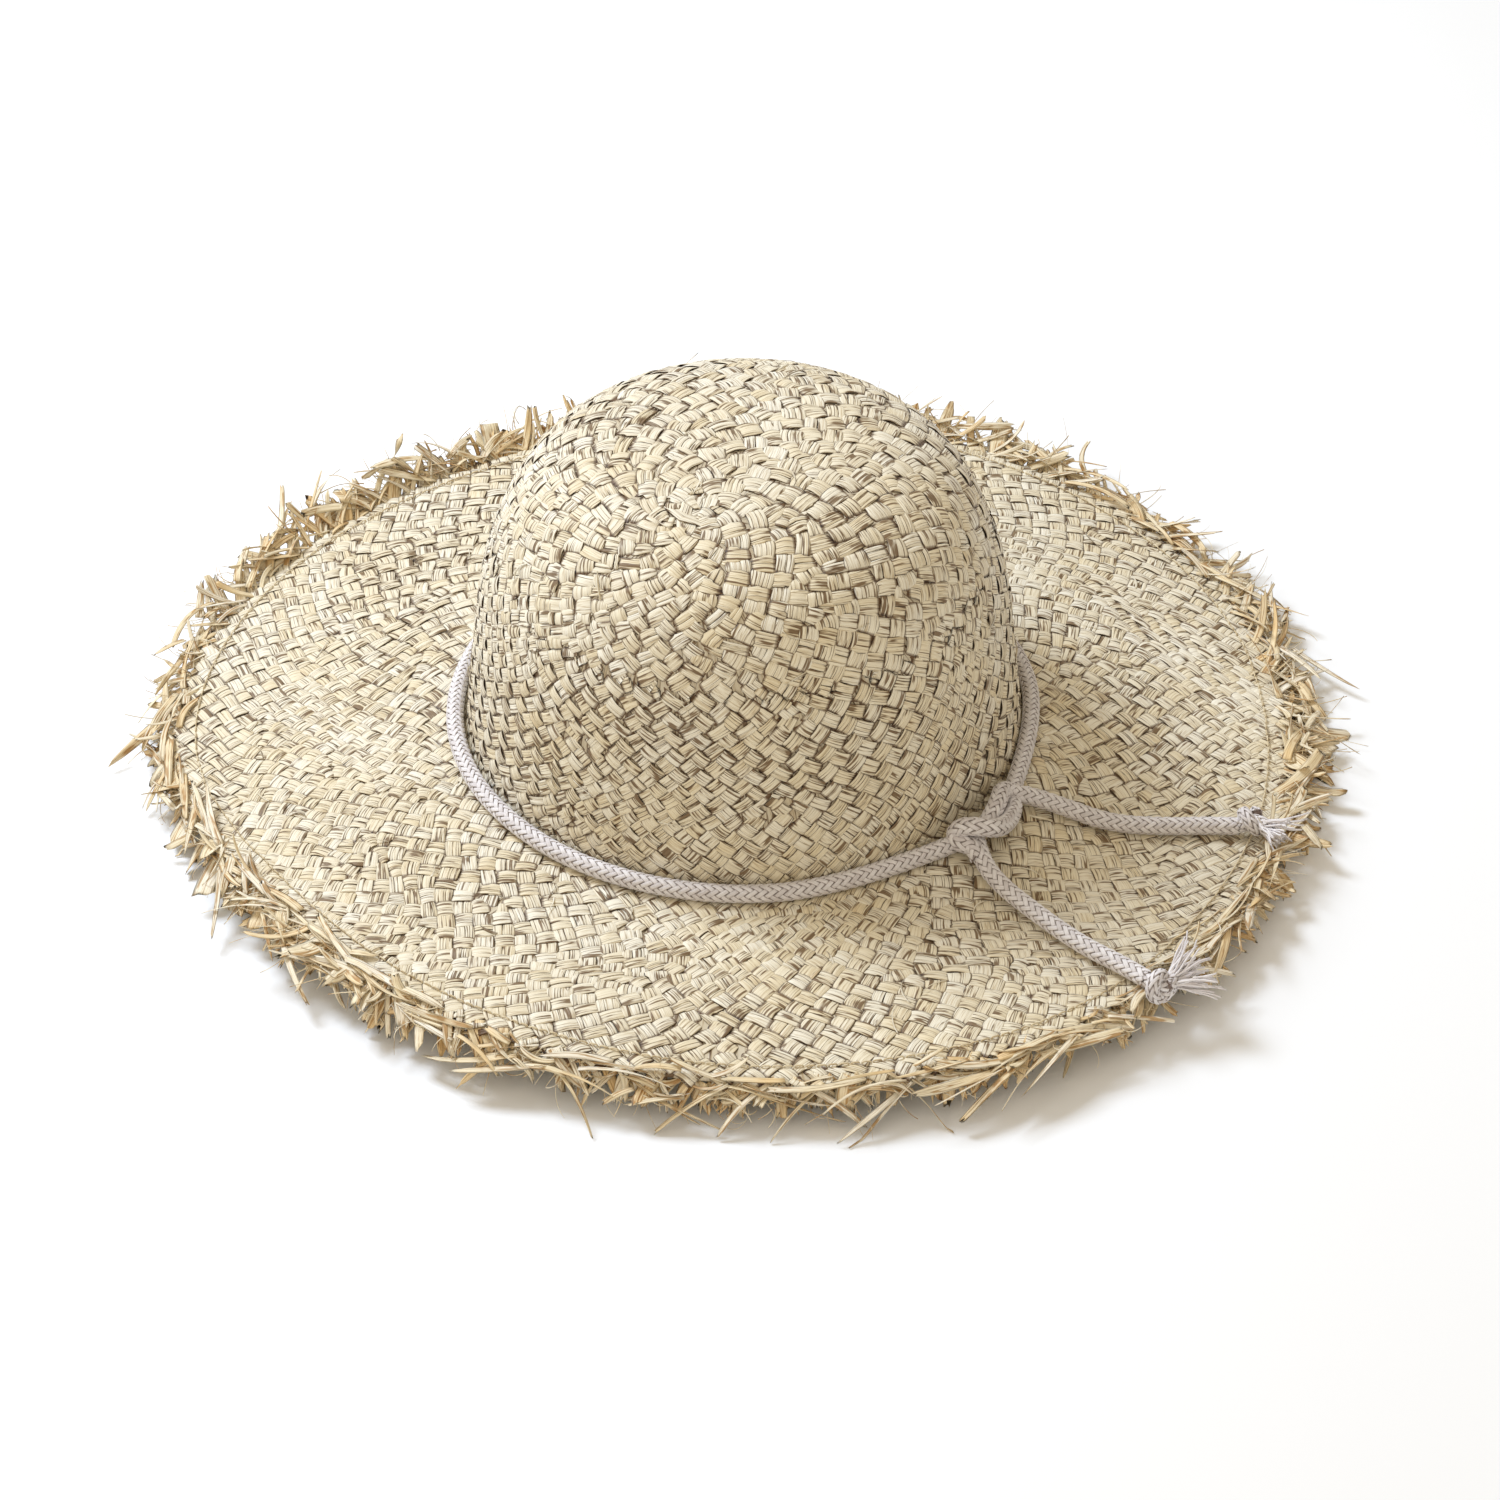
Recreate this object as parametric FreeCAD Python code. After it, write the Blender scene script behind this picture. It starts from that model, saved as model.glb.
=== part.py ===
import FreeCAD, Part
import math
import os

# A wide-brimmed straw sun hat, in millimetres, standing on a level surface.
# +Z is up, +X is the wearer's left, -Y is the front, and z = 0 is the surface under the brim.
# Heights marked "above the foot" are measured from the crown's foot, where crown and brim meet.

os.makedirs("parts", exist_ok=True)

Vector = FreeCAD.Vector

# ---- placing: the crown's centre against the middle of the brim, and the foot's height
CROWN_X = 0.44
CROWN_Y = -9.04
FOOT_HEIGHT = 17.8

# ---- straw
WEAVE_THICKNESS = 1.8
FRINGE_THICKNESS = 1.6

# ---- crown: half width at the foot, length against width, and the dome's outline
LENGTH_TO_WIDTH = 1.06
CROWN_START = 4.0
CROWN_PROFILE = [
    (88.6, CROWN_START), (87.4, 16.0), (85.8, 29.0), (83.8, 45.0), (81.0, 60.0),
    (76.0, 74.0), (67.5, 88.0), (54.0, 97.5), (35.0, 102.8), (0.0, 105.0),
]

# ---- brim: values at every 30 degrees, counted from +X towards +Y
EDGE_RADIUS = [177, 187, 189, 185, 184, 188, 185, 170, 170, 174, 179, 174]
EDGE_HEIGHT = [-13, -12, -6, -2, -4, -8, -10, -5, -4, -6, -4, -8]
MIDDLE_HEIGHT = [-8, -6, -2, 0, -2, -4, -4, -1, -1, -2, -4, -8]
FOOT_FILLET = [(0.0, 4.0), (0.5, 2.2), (1.9, 0.7), (4.4, 0.0)]
BRIM_STATIONS = [0.18, 0.36, 0.55, 0.75, 0.9, 1.0]

# ---- fringe: how far it reaches past the weave, and how far it drops or rises on the way
FRINGE_REACH = [19, 18, 16, 15, 12, 14, 12, 14, 12, 8, 9, 13]
FRINGE_DROP = [-2, -3, 3, 8, 13, 8, -5, -5, -6, -9, -6, 0]

# ---- thread, ribbon and cord
STITCH_INSET = 6.0
THREAD_WIDTH = 1.2
THREAD_HEIGHT = 0.6
CLEARANCE = 0.1
RIBBON_THICKNESS = 0.9
RIBBON_BOTTOM = 5.0
RIBBON_HEIGHT = 28.0
STITCH_HEIGHT = 2.0
STITCH_TOP = RIBBON_BOTTOM + STITCH_HEIGHT + THREAD_WIDTH + CLEARANCE
TAB_WIDTH = 12.0

# ---- braided cord: routes are measured from the crown's centre and above the foot
CORD_DIAMETER = 5.8
BAND_OFFSET = 4.3
BAND_HEIGHT = 3.6
BAND_START = -30.0
BAND_END = 312.0
BAND_POINTS = 15
TAIL_RIGHT_ROUTE = [
    (83.6, -50.6, 6.0), (90.6, -49.2, 3.2), (100.6, -49.8, -0.7), (115.0, -54.2, -3.8),
    (133.0, -53.2, -5.6), (146.0, -51.8, -6.2), (154.8, -52.8, -5.8),
]
TAIL_FRONT_ROUTE = [
    (71.0, -71.0, 5.5), (71.8, -78.5, 3.6), (76.6, -88.0, 0.3), (88.5, -102.0, -1.2),
    (101.0, -116.0, -1.8), (112.5, -125.8, -1.4), (118.8, -133.0, -0.8),
]
TIE_KNOT_CENTRE = (71.8, -69.3, 6.3)
TIE_KNOT_HALF = (9.0, 6.0)
TIE_TWIST_END = (83.0, -50.6, 6.2)
TIE_TWIST_RADIUS = 5.0
END_KNOT_HALF = (5.6, 5.0)
END_KNOT_RIGHT = (158.9, -52.4, -3.9)
END_KNOT_FRONT = (122.2, -136.6, -0.6)
TASSEL_RIGHT_TIP = (169.0, -61.0, -4.0)
TASSEL_FRONT_TIP = (136.0, -127.0, 0.0)
TASSEL_RADII = (2.4, 4.6)

RING_POINTS = 36


def around(values, azimuth):
    """A smooth closed curve through values that are evenly spaced round the hat."""
    step = 360.0 / len(values)
    place = (azimuth % 360.0) / step
    index = int(place)
    t = place - index
    p0, p1, p2, p3 = (values[(index + k) % len(values)] for k in (-1, 0, 1, 2))
    straight = 2.0 * p1
    slope = (p2 - p0) * t
    bend = (2.0 * p0 - 5.0 * p1 + 4.0 * p2 - p3) * t * t
    cubic = (3.0 * p1 - p0 - 3.0 * p2 + p3) * t * t * t
    return 0.5 * (straight + slope + bend + cubic)


def at(azimuth, radius, height):
    """A point by its direction and distance from the crown's centre, above the foot."""
    angle = math.radians(azimuth)
    x = CROWN_X + radius * math.cos(angle)
    y = CROWN_Y + radius * math.sin(angle)
    return Vector(x, y, FOOT_HEIGHT + height)


def oval_radius(half_width, azimuth):
    """The distance from the centre to the crown's oval in one direction."""
    angle = math.radians(azimuth)
    return half_width / math.hypot(math.cos(angle), math.sin(angle) / LENGTH_TO_WIDTH)


def crown_half_width(height):
    """The crown's outer half width at a height in its steep lower part."""
    for (low_r, low_z), (high_r, high_z) in zip(CROWN_PROFILE, CROWN_PROFILE[1:]):
        if low_z <= height <= high_z:
            return low_r + (high_r - low_r) * (height - low_z) / (high_z - low_z)
    return CROWN_PROFILE[0][0]


def brim_height(azimuth, station):
    """The brim's top surface above the foot, from its inner end 0 to the end of the weave 1."""
    middle = around(MIDDLE_HEIGHT, azimuth)
    edge = around(EDGE_HEIGHT, azimuth)
    return middle * 4.0 * station * (1.0 - station) + edge * station * (2.0 * station - 1.0)


def brim_point(azimuth, station):
    start = oval_radius(CROWN_PROFILE[0][0] + FOOT_FILLET[-1][0], azimuth)
    radius = start + (around(EDGE_RADIUS, azimuth) - start) * station
    return at(azimuth, radius, brim_height(azimuth, station))


def azimuths():
    return [360.0 * k / RING_POINTS for k in range(RING_POINTS)]


def closed_edge(points):
    curve = Part.BSplineCurve()
    curve.interpolate(Points=points, PeriodicFlag=True)
    return curve.toShape()


def skin(rings):
    """The smooth surface through a list of closed rings."""
    wires = [Part.Wire([closed_edge(ring)]) for ring in rings]
    return Part.makeLoft(wires, False, False).Faces


def rim(top_ring, bottom_ring):
    return [Part.makeRuledSurface(closed_edge(top_ring), closed_edge(bottom_ring))]


def solid_between(top_rings, bottom_rings):
    """A closed ring-shaped sheet from its top and bottom surfaces, each a list of rings."""
    faces = skin(top_rings) + skin(bottom_rings)
    faces += rim(top_rings[0], bottom_rings[0])
    faces += rim(top_rings[-1], bottom_rings[-1])
    shell = Part.Shell(faces)
    shell.sewShape()
    solid = Part.Solid(shell)
    if solid.Volume < 0:
        solid.reverse()
    return solid


def lowered(rings, depth):
    return [[point - Vector(0, 0, depth) for point in ring] for ring in rings]


def stretched_revolve(face):
    """Turns a profile face about the crown's axis and stretches it to the head's oval."""
    turned = face.revolve(Vector(0, 0, 0), Vector(0, 0, 1), 360)
    matrix = FreeCAD.Matrix()
    matrix.scale(1.0, LENGTH_TO_WIDTH, 1.0)
    matrix.move(Vector(CROWN_X, CROWN_Y, FOOT_HEIGHT))
    return turned.transformGeometry(matrix)


def profile_face(points_out, points_back):
    """A face in the XZ plane between an outward curve and the curve that runs back."""
    out_curve = Part.BSplineCurve()
    out_curve.interpolate(points_out)
    back_curve = Part.BSplineCurve()
    back_curve.interpolate(points_back)
    edges = [out_curve.toShape()]
    if points_out[-1].distanceToPoint(points_back[0]) > 1e-6:
        edges.append(Part.makeLine(points_out[-1], points_back[0]))
    edges.append(back_curve.toShape())
    edges.append(Part.makeLine(points_back[-1], points_out[0]))
    return Part.Face(Part.Wire(edges))


def make_crown():
    outer = [Vector(r, 0, z) for r, z in CROWN_PROFILE]
    inner = []
    for index, point in enumerate(outer):
        before = outer[max(index - 1, 0)]
        after = outer[min(index + 1, len(outer) - 1)]
        along = (after - before).normalize()
        inward = Vector(-along.z, 0, along.x)
        if index == 0:
            inward = Vector(-1, 0, 0)
        if index == len(outer) - 1:
            inward = Vector(0, 0, -1)
        inner.append(point + inward * WEAVE_THICKNESS)
    return stretched_revolve(profile_face(outer, inner[::-1]))


def make_brim():
    foot = CROWN_PROFILE[0][0]
    top = []
    bottom = []
    for offset, height in FOOT_FILLET:
        top.append([at(a, oval_radius(foot + offset, a), height) for a in azimuths()])
    for offset, height in FOOT_FILLET:
        # the underside follows the fillet one thickness in and down
        share = offset / FOOT_FILLET[-1][0]
        inset = WEAVE_THICKNESS * (1.0 - share)
        drop = WEAVE_THICKNESS * share
        bottom.append([at(a, oval_radius(foot + offset - inset, a), height - drop) for a in azimuths()])
    for station in BRIM_STATIONS:
        ring = [brim_point(a, station) for a in azimuths()]
        top.append(ring)
        bottom.append([point - Vector(0, 0, WEAVE_THICKNESS) for point in ring])
    return solid_between(top, bottom)


def make_fringe():
    rings = []
    for share in (0.0, 0.5, 1.0):
        ring = []
        for a in azimuths():
            radius = around(EDGE_RADIUS, a) + around(FRINGE_REACH, a) * share
            height = around(EDGE_HEIGHT, a) + around(FRINGE_DROP, a) * share
            ring.append(at(a, radius, height))
        rings.append(ring)
    return solid_between(rings, lowered(rings, FRINGE_THICKNESS))


def make_edge_stitching():
    def ring(inset):
        points = []
        for a in azimuths():
            start = oval_radius(CROWN_PROFILE[0][0] + FOOT_FILLET[-1][0], a)
            station = 1.0 - inset / (around(EDGE_RADIUS, a) - start)
            points.append(brim_point(a, station) + Vector(0, 0, 3 * CLEARANCE + THREAD_HEIGHT))
        return points
    rings = [ring(STITCH_INSET + THREAD_WIDTH), ring(STITCH_INSET)]
    return solid_between(rings, lowered(rings, THREAD_HEIGHT))


def inside_crown(height, depth):
    """A profile point inside the crown's wall, a depth in from its inner face."""
    return Vector(crown_half_width(height) - WEAVE_THICKNESS - depth, 0, height)


def make_sweatband():
    heights = [RIBBON_BOTTOM + RIBBON_HEIGHT * share for share in (0.0, 0.35, 0.7, 1.0)]
    outer = [inside_crown(z, 2 * CLEARANCE) for z in heights]
    inner = [inside_crown(z, 2 * CLEARANCE + RIBBON_THICKNESS) for z in heights]
    return stretched_revolve(profile_face(outer, inner[::-1]))


def make_sweatband_stitching():
    low = RIBBON_BOTTOM + STITCH_HEIGHT
    depth = 3 * CLEARANCE + RIBBON_THICKNESS
    corners = [
        inside_crown(low, depth),
        inside_crown(low + THREAD_WIDTH, depth),
        inside_crown(low + THREAD_WIDTH, depth + THREAD_HEIGHT),
        inside_crown(low, depth + THREAD_HEIGHT),
    ]
    return stretched_revolve(Part.Face(Part.makePolygon(corners + corners[:1])))


def make_seam_tab():
    """The folded tab over the ribbon's join, flat against it at the back of the head."""
    heights = [RIBBON_BOTTOM + RIBBON_HEIGHT * share for share in (0.0, 0.35, 0.7, 1.0)]
    depth = 3 * CLEARANCE + RIBBON_THICKNESS
    outer = [inside_crown(z, depth) for z in heights]
    inner = [inside_crown(z, depth + RIBBON_THICKNESS) for z in heights]
    ring = stretched_revolve(profile_face(outer, inner[::-1]))
    low = FOOT_HEIGHT + STITCH_TOP
    corner = Vector(CROWN_X - TAB_WIDTH / 2, CROWN_Y, low)
    window = Part.makeBox(TAB_WIDTH, 2 * CROWN_PROFILE[0][0], RIBBON_HEIGHT, corner)
    return ring.common(window).Solids[0]


def placed(point):
    x, y, height = point
    return Vector(CROWN_X + x, CROWN_Y + y, FOOT_HEIGHT + height)


def band_route():
    """The cord's line round the foot of the crown, from one side of the knot to the other."""
    step = (BAND_END - BAND_START) / (BAND_POINTS - 1)
    turns = [BAND_START + step * k for k in range(BAND_POINTS)]
    # the corners stand outside the oval, so that the arcs between them touch it
    radius = (CROWN_PROFILE[0][0] + BAND_OFFSET) / math.cos(math.radians(step / 2.0))
    return [at(a, oval_radius(radius, a), BAND_HEIGHT) for a in turns]


def corner_arc(before, corner, after):
    """The largest tangent arc that a route's two neighbouring runs leave room for."""
    back = before - corner
    ahead = after - corner
    reach = 0.45 * min(back.Length, ahead.Length)
    back.normalize()
    ahead.normalize()
    start = corner + back * reach
    end = corner + ahead * reach
    half_turn = (math.pi - back.getAngle(ahead)) / 2.0
    radius = reach / math.tan(half_turn)
    bisector = (back + ahead).normalize()
    centre = corner + bisector * (radius / math.cos(half_turn))
    middle = centre - bisector * radius
    return start, middle, end, radius


def route_tube(name, route, diameter):
    """A round tube along straight runs joined by tangent arcs."""
    edges = []
    radii = []
    here = route[0]
    for before, corner, after in zip(route, route[1:], route[2:]):
        start, middle, end, radius = corner_arc(before, corner, after)
        edges.append(Part.LineSegment(here, start).toShape())
        edges.append(Part.Arc(start, middle, end).toShape())
        radii.append(radius)
        here = end
    edges.append(Part.LineSegment(here, route[-1]).toShape())
    path = Part.Wire(edges)
    section = Part.Wire([Part.makeCircle(diameter / 2.0, route[0], route[1] - route[0])])
    tube = path.makePipeShell([section], True, False)
    expected = math.pi * diameter ** 2 / 4.0 * path.Length
    print(name, "length %.1f" % path.Length, "volume ratio %.4f" % (tube.Volume / expected),
          "radii", " ".join("%.0f" % radius for radius in radii))
    return tube


def ball(centre, half_length, half_width, along):
    """A plain rounded lump, longer along one direction."""
    matrix = FreeCAD.Matrix()
    matrix.scale(half_width, half_width, half_length)
    lump = Part.makeSphere(1.0).transformGeometry(matrix)
    turn = FreeCAD.Rotation(Vector(0, 0, 1), along)
    lump.Placement = FreeCAD.Placement(centre, turn)
    return lump


def make_tie_knot():
    centre = placed(TIE_KNOT_CENTRE)
    twist_end = placed(TIE_TWIST_END)
    along = twist_end - centre
    lump = ball(centre, TIE_KNOT_HALF[0], TIE_KNOT_HALF[1], along)
    twist = Part.makeCylinder(TIE_TWIST_RADIUS, along.Length, centre, along)
    cap = Part.makeSphere(TIE_TWIST_RADIUS, twist_end)
    return lump.fuse([twist, cap]).removeSplitter().Solids[0]


def make_tassel(knot, tip):
    start = placed(knot)
    along = placed(tip) - start
    return Part.makeCone(TASSEL_RADII[0], TASSEL_RADII[1], along.Length, start, along)


def make_end_knot(centre, route):
    along = placed(centre) - placed(route[-2])
    return ball(placed(centre), END_KNOT_HALF[0], END_KNOT_HALF[1], along)


NODES = {
    "crown": make_crown(),
    "brim": make_brim(),
    "brim_fringe": make_fringe(),
    "edge_stitching": make_edge_stitching(),
    "sweatband": make_sweatband(),
    "sweatband_stitching": make_sweatband_stitching(),
    "sweatband_seam_tab": make_seam_tab(),
    "hat_cord": route_tube("hat_cord", band_route(), CORD_DIAMETER),
    "tie_knot": make_tie_knot(),
    "cord_tail_right": route_tube("cord_tail_right", [placed(p) for p in TAIL_RIGHT_ROUTE], CORD_DIAMETER),
    "cord_tail_front": route_tube("cord_tail_front", [placed(p) for p in TAIL_FRONT_ROUTE], CORD_DIAMETER),
    "end_knot_right": make_end_knot(END_KNOT_RIGHT, TAIL_RIGHT_ROUTE),
    "end_knot_front": make_end_knot(END_KNOT_FRONT, TAIL_FRONT_ROUTE),
    "tassel_right": make_tassel(END_KNOT_RIGHT, TASSEL_RIGHT_TIP),
    "tassel_front": make_tassel(END_KNOT_FRONT, TASSEL_FRONT_TIP),
}

for name, shape in NODES.items():
    shape.exportStep("parts/" + name + ".step")
    box = shape.BoundBox
    print(name, "valid", shape.isValid(), "solids", len(shape.Solids), "volume %.0f" % shape.Volume,
          "box %.2f %.2f %.2f %.2f %.2f %.2f" % (box.XMin, box.XMax, box.YMin, box.YMax, box.ZMin, box.ZMax))
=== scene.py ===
"""A plaited straw sun hat with a frayed brim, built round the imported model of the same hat.

Every strip of the weave is a mesh of its own shape: two families of strips wind out from the
start of the plait at 45 degrees each way, pass over and under each other, and run on past the
edge stitching as the fringe. Lengths are in metres unless a name says otherwise.
"""
import math

import bpy
import numpy as np
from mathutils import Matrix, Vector
from mathutils.bvhtree import BVHTree


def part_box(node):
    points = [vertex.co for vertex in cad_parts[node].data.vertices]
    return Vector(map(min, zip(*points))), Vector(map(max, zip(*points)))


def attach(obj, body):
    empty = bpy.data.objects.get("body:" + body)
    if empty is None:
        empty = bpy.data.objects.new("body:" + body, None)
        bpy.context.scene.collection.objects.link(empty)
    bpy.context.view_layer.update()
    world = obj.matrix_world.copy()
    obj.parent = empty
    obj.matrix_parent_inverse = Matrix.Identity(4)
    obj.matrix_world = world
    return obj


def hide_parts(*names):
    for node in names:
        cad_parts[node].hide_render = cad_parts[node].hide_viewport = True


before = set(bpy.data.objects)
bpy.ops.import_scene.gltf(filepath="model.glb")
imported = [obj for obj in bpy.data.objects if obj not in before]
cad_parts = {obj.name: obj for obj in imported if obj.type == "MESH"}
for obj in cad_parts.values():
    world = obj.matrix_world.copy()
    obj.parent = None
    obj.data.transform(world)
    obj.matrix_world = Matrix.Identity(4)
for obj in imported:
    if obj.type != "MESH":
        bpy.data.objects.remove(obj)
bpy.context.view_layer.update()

MM = 0.001
SEED = 11
rng = np.random.default_rng(SEED)

# ---- the weave
CROWN_PITCH = 5.75 * MM             # middle to middle of neighbouring strips of one family
BRIM_PITCH = 5.35 * MM
RING_STEP = BRIM_PITCH / math.sqrt(2)    # from one ring of crossings to the next
STEPS = 6                           # mesh rows from one crossing to the next
WAVE = 0.46 * MM                    # how far a strip rises and dips at a crossing
STRIP_THICKNESS = 0.32 * MM
STRIP_FILL = 1.05                   # strip width against the pitch
START_SHIFT = 0.27                  # how far the plait's start lies from the apex, against the dome
START_AZIMUTH = math.radians(245)
TWIST = 0.045                       # slow wandering of the strips' direction, in radians

# ---- cord routes in mm, measured from the crown's centre and above its foot, as in the CAD model
CORD_DIAMETER = 5.8 * MM
BAND_HALF_WIDTH = 92.9
BAND_HEIGHT = 3.6
BAND_START = -30.0
BAND_END = 312.0
BAND_POINTS = 15
TAIL_RIGHT_ROUTE = [
    (83.6, -50.6, 6.0), (90.6, -49.2, 3.2), (100.6, -49.8, -0.7), (115.0, -54.2, -3.8),
    (133.0, -53.2, -5.6), (146.0, -51.8, -6.2), (154.8, -52.8, -5.8),
]
TAIL_FRONT_ROUTE = [
    (71.0, -71.0, 5.5), (71.8, -78.5, 3.6), (76.6, -88.0, 0.3), (88.5, -102.0, -1.2),
    (101.0, -116.0, -1.8), (112.5, -125.8, -1.4), (118.8, -133.0, -0.8),
]
END_KNOT_RIGHT = (158.9, -52.4, -3.9)
END_KNOT_FRONT = (122.2, -136.6, -0.6)
TASSEL_RIGHT_TIP = (169.0, -61.0, -4.0)
TASSEL_FRONT_TIP = (136.0, -127.0, 0.0)
# inside the tie: one rope lies along the crown, and the other is twisted and wrapped round it
TIE_UNDER_ROUTE = [
    (65.0, -73.6, 3.6), (69.4, -71.6, 4.4), (74.0, -68.6, 6.2), (77.4, -62.4, 8.0),
    (79.4, -56.4, 8.6), (80.4, -51.4, 7.8), (83.6, -50.6, 6.0),
]
TIE_OVER_ROUTE = [
    (83.5, -48.2, 3.6), (84.2, -54.0, 3.2), (82.8, -60.6, 4.0), (80.2, -67.4, 6.0),
    (77.4, -73.6, 9.2), (72.0, -75.4, 11.6), (66.8, -73.8, 10.6), (64.4, -73.0, 7.2),
    (66.0, -76.2, 5.4), (70.4, -76.6, 5.2), (71.8, -80.5, 3.3),
]


# ==== small helpers
UP = np.array([0.0, 0.0, 1.0])


def unit(vectors):
    return vectors / np.maximum(np.linalg.norm(vectors, axis=-1, keepdims=True), 1e-12)


def tangents(points):
    return unit(np.gradient(points, axis=0))


def walk(points):
    """The distance walked along a line at each of its points."""
    return np.concatenate([[0], np.cumsum(np.linalg.norm(np.diff(points, axis=0), axis=1))])


def circle(count):
    """The corners of a regular shape of radius 1, as a section."""
    return np.array([(math.cos(a), math.sin(a)) for a in math.tau * np.arange(count) / count])


def rolled(side, normal, angle):
    """The two directions across a line, turned about it by an angle at each point."""
    cosine, sine = np.cos(angle)[:, None], np.sin(angle)[:, None]
    return side * cosine + normal * sine, normal * cosine - side * sine


def swept(centre, side, normal, section, half, thickness):
    """A section carried along a line: the rings of points of a tube."""
    across = section[:, 0][None, :, None] * (side * half)[:, None, :]
    height = section[:, 1][None, :, None] * (normal * thickness)[:, None, :]
    return centre[:, None, :] + across + height


def strip_places(along, across):
    """Where each point of a tube lies on its strip, in mm."""
    return np.stack(np.broadcast_arrays(along, across), -1)


# ==== surface
crown_low, crown_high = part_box("crown")
CENTRE = np.array([(crown_low.x + crown_high.x) / 2, (crown_low.y + crown_high.y) / 2])
HALF_X = (crown_high.x - crown_low.x) / 2
HALF_Y = (crown_high.y - crown_low.y) / 2
STRETCH = HALF_Y / HALF_X
CROWN_FOOT = crown_low.z            # where the crown's wall turns into the brim's fillet
FILLET_RISE = 4.0 * MM
FILLET_REACH = 4.4 * MM
FOOT = CROWN_FOOT - FILLET_RISE
ABOVE = 0.2                         # a height over the whole hat, to look down from


def polar(azimuth, radius, height, stretch=1.0):
    """A point round the crown's upright line, on a circle or on the crown's oval."""
    return np.array([CENTRE[0] + radius * math.cos(azimuth),
                     CENTRE[1] + radius * stretch * math.sin(azimuth), height])


def surface_tree(*nodes):
    """The faces of some CAD nodes, to find where a line meets them."""
    vertices = []
    faces = []
    for node in nodes:
        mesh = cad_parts[node].data
        start = len(vertices)
        vertices += [v.co.copy() for v in mesh.vertices]
        faces += [[start + i for i in p.vertices] for p in mesh.polygons]
    return BVHTree.FromPolygons(vertices, faces)


def seen_from_above(tree, azimuth, radius):
    return tree.ray_cast(Vector(polar(azimuth, radius, ABOVE)), Vector((0, 0, -1)))[0]


def outer_limit(tree, azimuth, low, high, halvings):
    """The radius at which the tree ends, which lies between low and high."""
    for _ in range(halvings):
        middle = (low + high) / 2
        if seen_from_above(tree, azimuth, middle) is None:
            high = middle
        else:
            low = middle
    return low


def crown_profile():
    """The crown's outline in the XZ plane, as distance along it, radius and height."""
    tree = surface_tree("crown")
    middle = Vector((CENTRE[0], CENTRE[1], CROWN_FOOT + 30 * MM))
    points = []
    for degrees in np.linspace(90, -45, 271):
        angle = math.radians(degrees)
        out = Vector((math.cos(angle), 0, math.sin(angle)))
        hit = tree.ray_cast(middle + out * 0.3, -out)[0]
        if hit is None or hit.z < CROWN_FOOT + 0.2 * MM:
            break
        points.append((hit.x - CENTRE[0], hit.z))
    points.append((HALF_X, CROWN_FOOT))
    points = np.array(points)
    points[0, 0] = 0.0
    return walk(points), points[:, 0], points[:, 1]


PROFILE_ALONG, PROFILE_RADIUS, PROFILE_HEIGHT = crown_profile()
CROWN_LENGTH = PROFILE_ALONG[-1]

GRID_AZIMUTHS = 180
GRID_RADII = np.linspace(0.088, 0.215, 65)
PAST_CROWN = 0.097                  # outside this radius nothing of the crown is in the way
WELL_INSIDE = 0.15                  # inside this radius there is brim at every azimuth


def brim_grid():
    """Heights of the top of the brim and its fringe on a polar grid, and the weave's edge."""
    brim = surface_tree("brim")
    both = surface_tree("brim", "brim_fringe")
    heights = np.zeros((GRID_AZIMUTHS, len(GRID_RADII)))
    edge = np.zeros(GRID_AZIMUTHS)
    for i in range(GRID_AZIMUTHS):
        azimuth = math.tau * i / GRID_AZIMUTHS
        last, slope = FOOT, 0.0
        for j, radius in enumerate(GRID_RADII):
            hit = seen_from_above(both, azimuth, radius)
            if hit is not None and radius > PAST_CROWN:
                slope = hit.z - last
                last = hit.z
            elif radius > WELL_INSIDE:
                last += slope
            heights[i, j] = last
        edge[i] = outer_limit(brim, azimuth, WELL_INSIDE, GRID_RADII[-1], 16)
    return heights, edge


BRIM_HEIGHTS, EDGE_RADII = brim_grid()


def azimuth_cell(azimuth):
    """The grid azimuths on each side of an azimuth, and how far between them it lies."""
    place = (azimuth / math.tau % 1.0) * GRID_AZIMUTHS
    i = np.floor(place).astype(int) % GRID_AZIMUTHS
    return i, (i + 1) % GRID_AZIMUTHS, place - np.floor(place)


def by_azimuth(table, azimuth):
    i, k, t = azimuth_cell(azimuth)
    return table[i] * (1 - t) + table[k] * t


def brim_height(azimuth, radius):
    i, k, t = azimuth_cell(azimuth)
    step = GRID_RADII[1] - GRID_RADII[0]
    across = np.clip((radius - GRID_RADII[0]) / step, 0, len(GRID_RADII) - 1.001)
    j = np.floor(across).astype(int)
    u = across - j
    near = BRIM_HEIGHTS[i, j] * (1 - u) + BRIM_HEIGHTS[i, j + 1] * u
    far = BRIM_HEIGHTS[k, j] * (1 - u) + BRIM_HEIGHTS[k, j + 1] * u
    return near * (1 - t) + far * t


FILLET_LENGTH = 6.6 * MM
RINGS_TO_FOOT = int(round(CROWN_LENGTH * math.sqrt(2) / CROWN_PITCH))
START = START_SHIFT * np.array([math.cos(START_AZIMUTH), math.sin(START_AZIMUTH)])


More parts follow.
